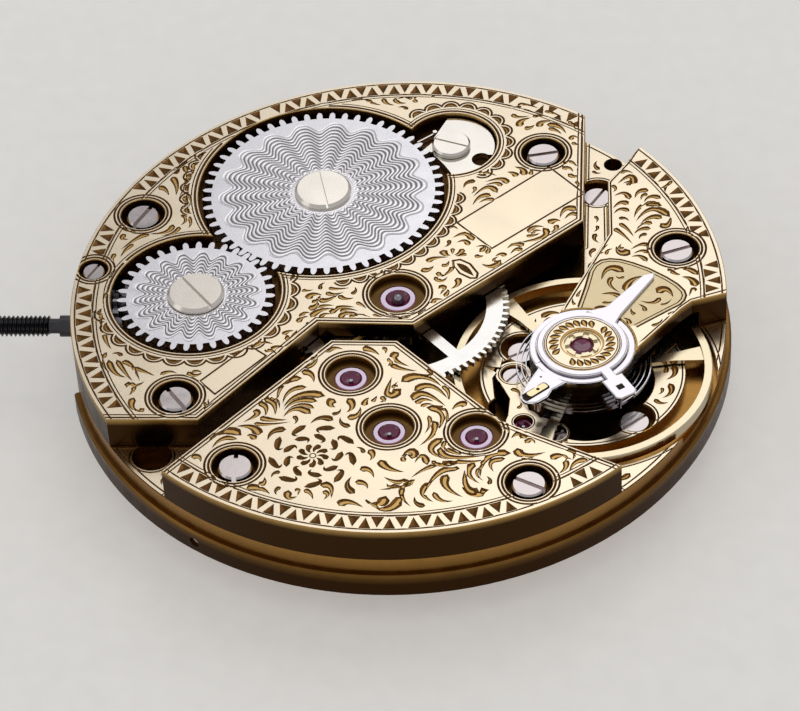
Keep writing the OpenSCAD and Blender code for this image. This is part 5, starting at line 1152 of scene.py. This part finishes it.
class MovementEngraving(PropertyGroup):
    rise: FloatProperty(
        name="Land height", description="Height of the land above the bridge's body", default=0.045 * MM, unit="LENGTH"
    )
    bevel: FloatProperty(
        name="Bevel", description="Width of the bevel along the bridges' edges", default=0.04 * MM, unit="LENGTH"
    )


class MovementGuilloche(PropertyGroup):
    lobes: IntProperty(name="Lobes", description="Lobes of the pattern round each wheel", default=18, min=3, max=60)
    depth: FloatProperty(name="Depth", description="Depth of the turned lines", default=0.03 * MM, unit="LENGTH")


def seen(tree, glossy_share):
    """How far a surface shows itself to the camera, through glass, and by a share in mirrors."""
    rays = add(tree, "ShaderNodeLightPath").outputs
    glossy = add(tree, "ShaderNodeMath", {"operation": "MULTIPLY", 1: glossy_share}, {0: rays["Is Glossy Ray"]})
    most = rays["Is Camera Ray"]
    for other in (rays["Is Transmission Ray"], glossy.outputs[0]):
        most = add(tree, "ShaderNodeMath", {"operation": "MAXIMUM"}, {0: most, 1: other}).outputs[0]
    return most


class MOVEMENT_OT_stage(Operator):
    """Camera, pale floor, backdrop and soft boxes"""

    bl_idname = "movement.stage"
    bl_label = "Stage"

    def execute(self, context):
        scene = context.scene
        scene.view_settings.view_transform = "Standard"
        view, light = scene.movement_camera, scene.movement_light
        e, a = view.elevation, view.azimuth
        away = Vector((math.sin(a) * math.cos(e), -math.cos(a) * math.cos(e), math.sin(e)))
        right = (-away).cross(Vector((0, 0, 1))).normalized()
        up = right.cross(-away).normalized()
        c, s = math.cos(view.roll), math.sin(view.roll)
        turn = Matrix((right * c + up * s, up * c - right * s, away)).transposed()
        # The bridges stand a little above the picture's middle
        turn = turn @ Matrix.Rotation(-0.01622, 3, "X") @ Matrix.Rotation(-0.00063, 3, "Y")
        data = bpy.data.cameras.new("Camera")
        data.lens, data.sensor_width = view.lens, 36.0
        data.clip_start, data.clip_end = 0.005, 20.0
        scene.camera = linked("Camera", data)
        middle = Vector((0, 0, BRIDGE_TOP * MM))
        scene.camera.matrix_world = Matrix.Translation(middle + away * view.distance) @ turn.to_4x4()

        select()
        bpy.ops.mesh.primitive_plane_add(size=3.0, location=(0, 0, CAD_BOX[0][2] - 0.00002))
        floor = context.active_object
        floor.name = "Floor"
        bpy.ops.object.transform_apply(location=True, rotation=True, scale=True)
        # Matt pale paper; the camera and reflections see it a little lifted towards the backdrop's white
        paper = bpy.data.materials.new("Studio paper, matt")
        tree = bare_tree(paper)
        place = add(tree, "ShaderNodeTexCoord").outputs["Object"]
        fibre = add(tree, "ShaderNodeTexNoise", {"Scale": 900.0, "Detail": 3.0}, {"Vector": place}).outputs["Fac"]
        hues = {"data_type": "RGBA", 6: linear("#DDDCDA"), 7: linear("#E6E5E3")}
        tone = add(tree, "ShaderNodeMix", hues, {0: fibre}).outputs[2]
        matt = add(tree, "ShaderNodeBsdfPrincipled", {"Roughness": 0.9}, {"Base Color": tone})
        lift = add(tree, "ShaderNodeMath", {"operation": "MULTIPLY", 1: 0.42}, {0: seen(tree, 0.4)})
        pale = add(tree, "ShaderNodeEmission", {}, {"Color": tone, "Strength": lift.outputs[0]})
        both = add(tree, "ShaderNodeAddShader", {}, {0: matt.outputs[0], 1: pale.outputs[0]})
        add(tree, "ShaderNodeOutputMaterial", {}, {"Surface": both.outputs[0]})
        floor.data.materials.append(paper)

        world = bpy.data.worlds.new("Backdrop")
        tree = bare_tree(world)
        lamp = add(tree, "ShaderNodeBackground", {"Color": (1.0, 0.97, 0.93, 1.0), "Strength": 0.4})
        shown = add(tree, "ShaderNodeBackground", {"Color": (*light.backdrop, 1.0), "Strength": 1.0})
        both = add(tree, "ShaderNodeMixShader", {}, {0: seen(tree, 1.0), 1: lamp.outputs[0], 2: shown.outputs[0]})
        add(tree, "ShaderNodeOutputWorld", {}, {"Surface": both.outputs[0]})
        scene.world = world

        for name, power, size, at in (
            ("Key box", light.key, 0.28, (0.06, 0.3, 0.42)),
            ("Side box", light.fill, 0.2, (-0.38, -0.1, 0.25)),
            ("Front box", light.fill, 0.2, (0.3, -0.35, 0.2)),
        ):
            data = bpy.data.lights.new(name, "AREA")
            data.energy, data.size, data.shape = power, size, "SQUARE"
            box = linked(name, data)
            box.location = at
            box.rotation_euler = (-Vector(at)).to_track_quat("-Z", "Y").to_euler()
        return {"FINISHED"}


# Nodes whose finish isn't the one that their slot names
NODE_FINISH = {
    "ratchet_screw": "cream_steel", "crown_screw": "cream_steel", "regulator": "index_steel",
    "stud_carrier": "index_steel", "stud": "index_steel", "stem": "dark_steel",
}


class MOVEMENT_OT_finishes(Operator):
    """Gives every CAD node its finish"""

    bl_idname = "movement.finishes"
    bl_label = "Node finishes"

    def execute(self, context):
        for name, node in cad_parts.items():
            for place in node.material_slots:
                base = place.material.name.split(".")[0] if place.material else ""
                place.material = material(NODE_FINISH.get(name, base if base in RECIPES else "steel"))
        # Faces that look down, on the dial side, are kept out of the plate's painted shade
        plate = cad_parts["main_plate"].data
        facing = plate.attributes.new("dial_side", "FLOAT", "FACE")
        facing.data.foreach_set("value", [float(face.normal.z < -0.5) for face in plate.polygons])
        return {"FINISHED"}


class MOVEMENT_OT_bridges(Operator):
    """Engraves the barrel bridge, the train bridge and the balance cock"""

    bl_idname = "movement.bridges"
    bl_label = "Bridge engravings"

    def execute(self, context):
        settings = context.scene.movement_engraving
        top, bevel = BRIDGE_TOP + settings.rise / MM, settings.bevel / MM
        for name, shape, draw, finishes, panel in BRIDGES:
            carved(name, "movement", "bridge", shape, draw, top, BRIDGE_TOP - 0.005, bevel, finishes, panel)
        return {"FINISHED"}


class MOVEMENT_OT_guilloche(Operator):
    """Turns the wavy lines on the ratchet wheel and the crown wheel"""

    bl_idname = "movement.guilloche"
    bl_label = "Guilloche"

    def execute(self, context):
        guilloche("ratchet_guilloche", "ratchet", BARREL, 1.75, 5.95, 6.0, 0.33, 0.28)
        guilloche("crown_guilloche", "crown", CROWN, 1.62, 3.65, 8.0, 0.3, 0.27)
        return {"FINISHED"}


class MOVEMENT_OT_lower_lands(Operator):
    """Engraves the plate's lands, the pallet bridge and the cock's boss, and bevels the index"""

    bl_idname = "movement.lower_lands"
    bl_label = "Plate, pallet bridge, boss and index"

    def execute(self, context):
        for land in LOWER_LANDS:
            carved(*land)
        return {"FINISHED"}


class MOVEMENT_OT_jewels(Operator):
    """Turns the visible hole jewels with their oil cups"""

    bl_idname = "movement.jewels"
    bl_label = "Jewels"

    def execute(self, context):
        for name, profile, places, nodes in JEWELS:
            belongs(stood(turned(name, profile), places), "movement", "ruby", *nodes)
        return {"FINISHED"}


class MOVEMENT_OT_stem(Operator):
    """Makes the threaded stem and the wound hairspring"""

    bl_idname = "movement.stem"
    bl_label = "Stem and hairspring"

    def execute(self, context):
        stem()
        hairspring()
        return {"FINISHED"}


class MOVEMENT_PT_panel(Panel):
    """Lists the movement's pieces and settings"""

    bl_idname = "MOVEMENT_PT_panel"
    bl_label = "Watch movement"
    bl_space_type = "VIEW_3D"
    bl_region_type = "UI"
    bl_category = "Movement"

    def draw(self, context):
        for key in GROUPS:
            group = getattr(context.scene, key)
            box = self.layout.box()
            for name in group.__annotations__:
                box.prop(group, name)
        for operator in OPERATORS:
            self.layout.operator(operator.bl_idname)


GROUPS = {
    "movement_camera": MovementCamera,
    "movement_light": MovementLight,
    "movement_engraving": MovementEngraving,
    "movement_guilloche": MovementGuilloche,
}
OPERATORS = (
    MOVEMENT_OT_stage,
    MOVEMENT_OT_finishes,
    MOVEMENT_OT_bridges,
    MOVEMENT_OT_guilloche,
    MOVEMENT_OT_lower_lands,
    MOVEMENT_OT_jewels,
    MOVEMENT_OT_stem,
)


def register():
    for each in (*GROUPS.values(), *OPERATORS, MOVEMENT_PT_panel):
        bpy.utils.register_class(each)
    for name, group in GROUPS.items():
        setattr(bpy.types.Scene, name, PointerProperty(type=group))


def unregister():
    for name in GROUPS:
        delattr(bpy.types.Scene, name)
    for each in (MOVEMENT_PT_panel, *reversed(OPERATORS), *reversed(list(GROUPS.values()))):
        bpy.utils.unregister_class(each)


def main():
    register()
    select()
    bpy.ops.movement.stage()
    bpy.ops.movement.finishes()
    bpy.ops.movement.bridges()
    bpy.ops.movement.guilloche()
    bpy.ops.movement.lower_lands()
    bpy.ops.movement.jewels()
    bpy.ops.movement.stem()
    select()


if __name__ == "__main__":
    main()
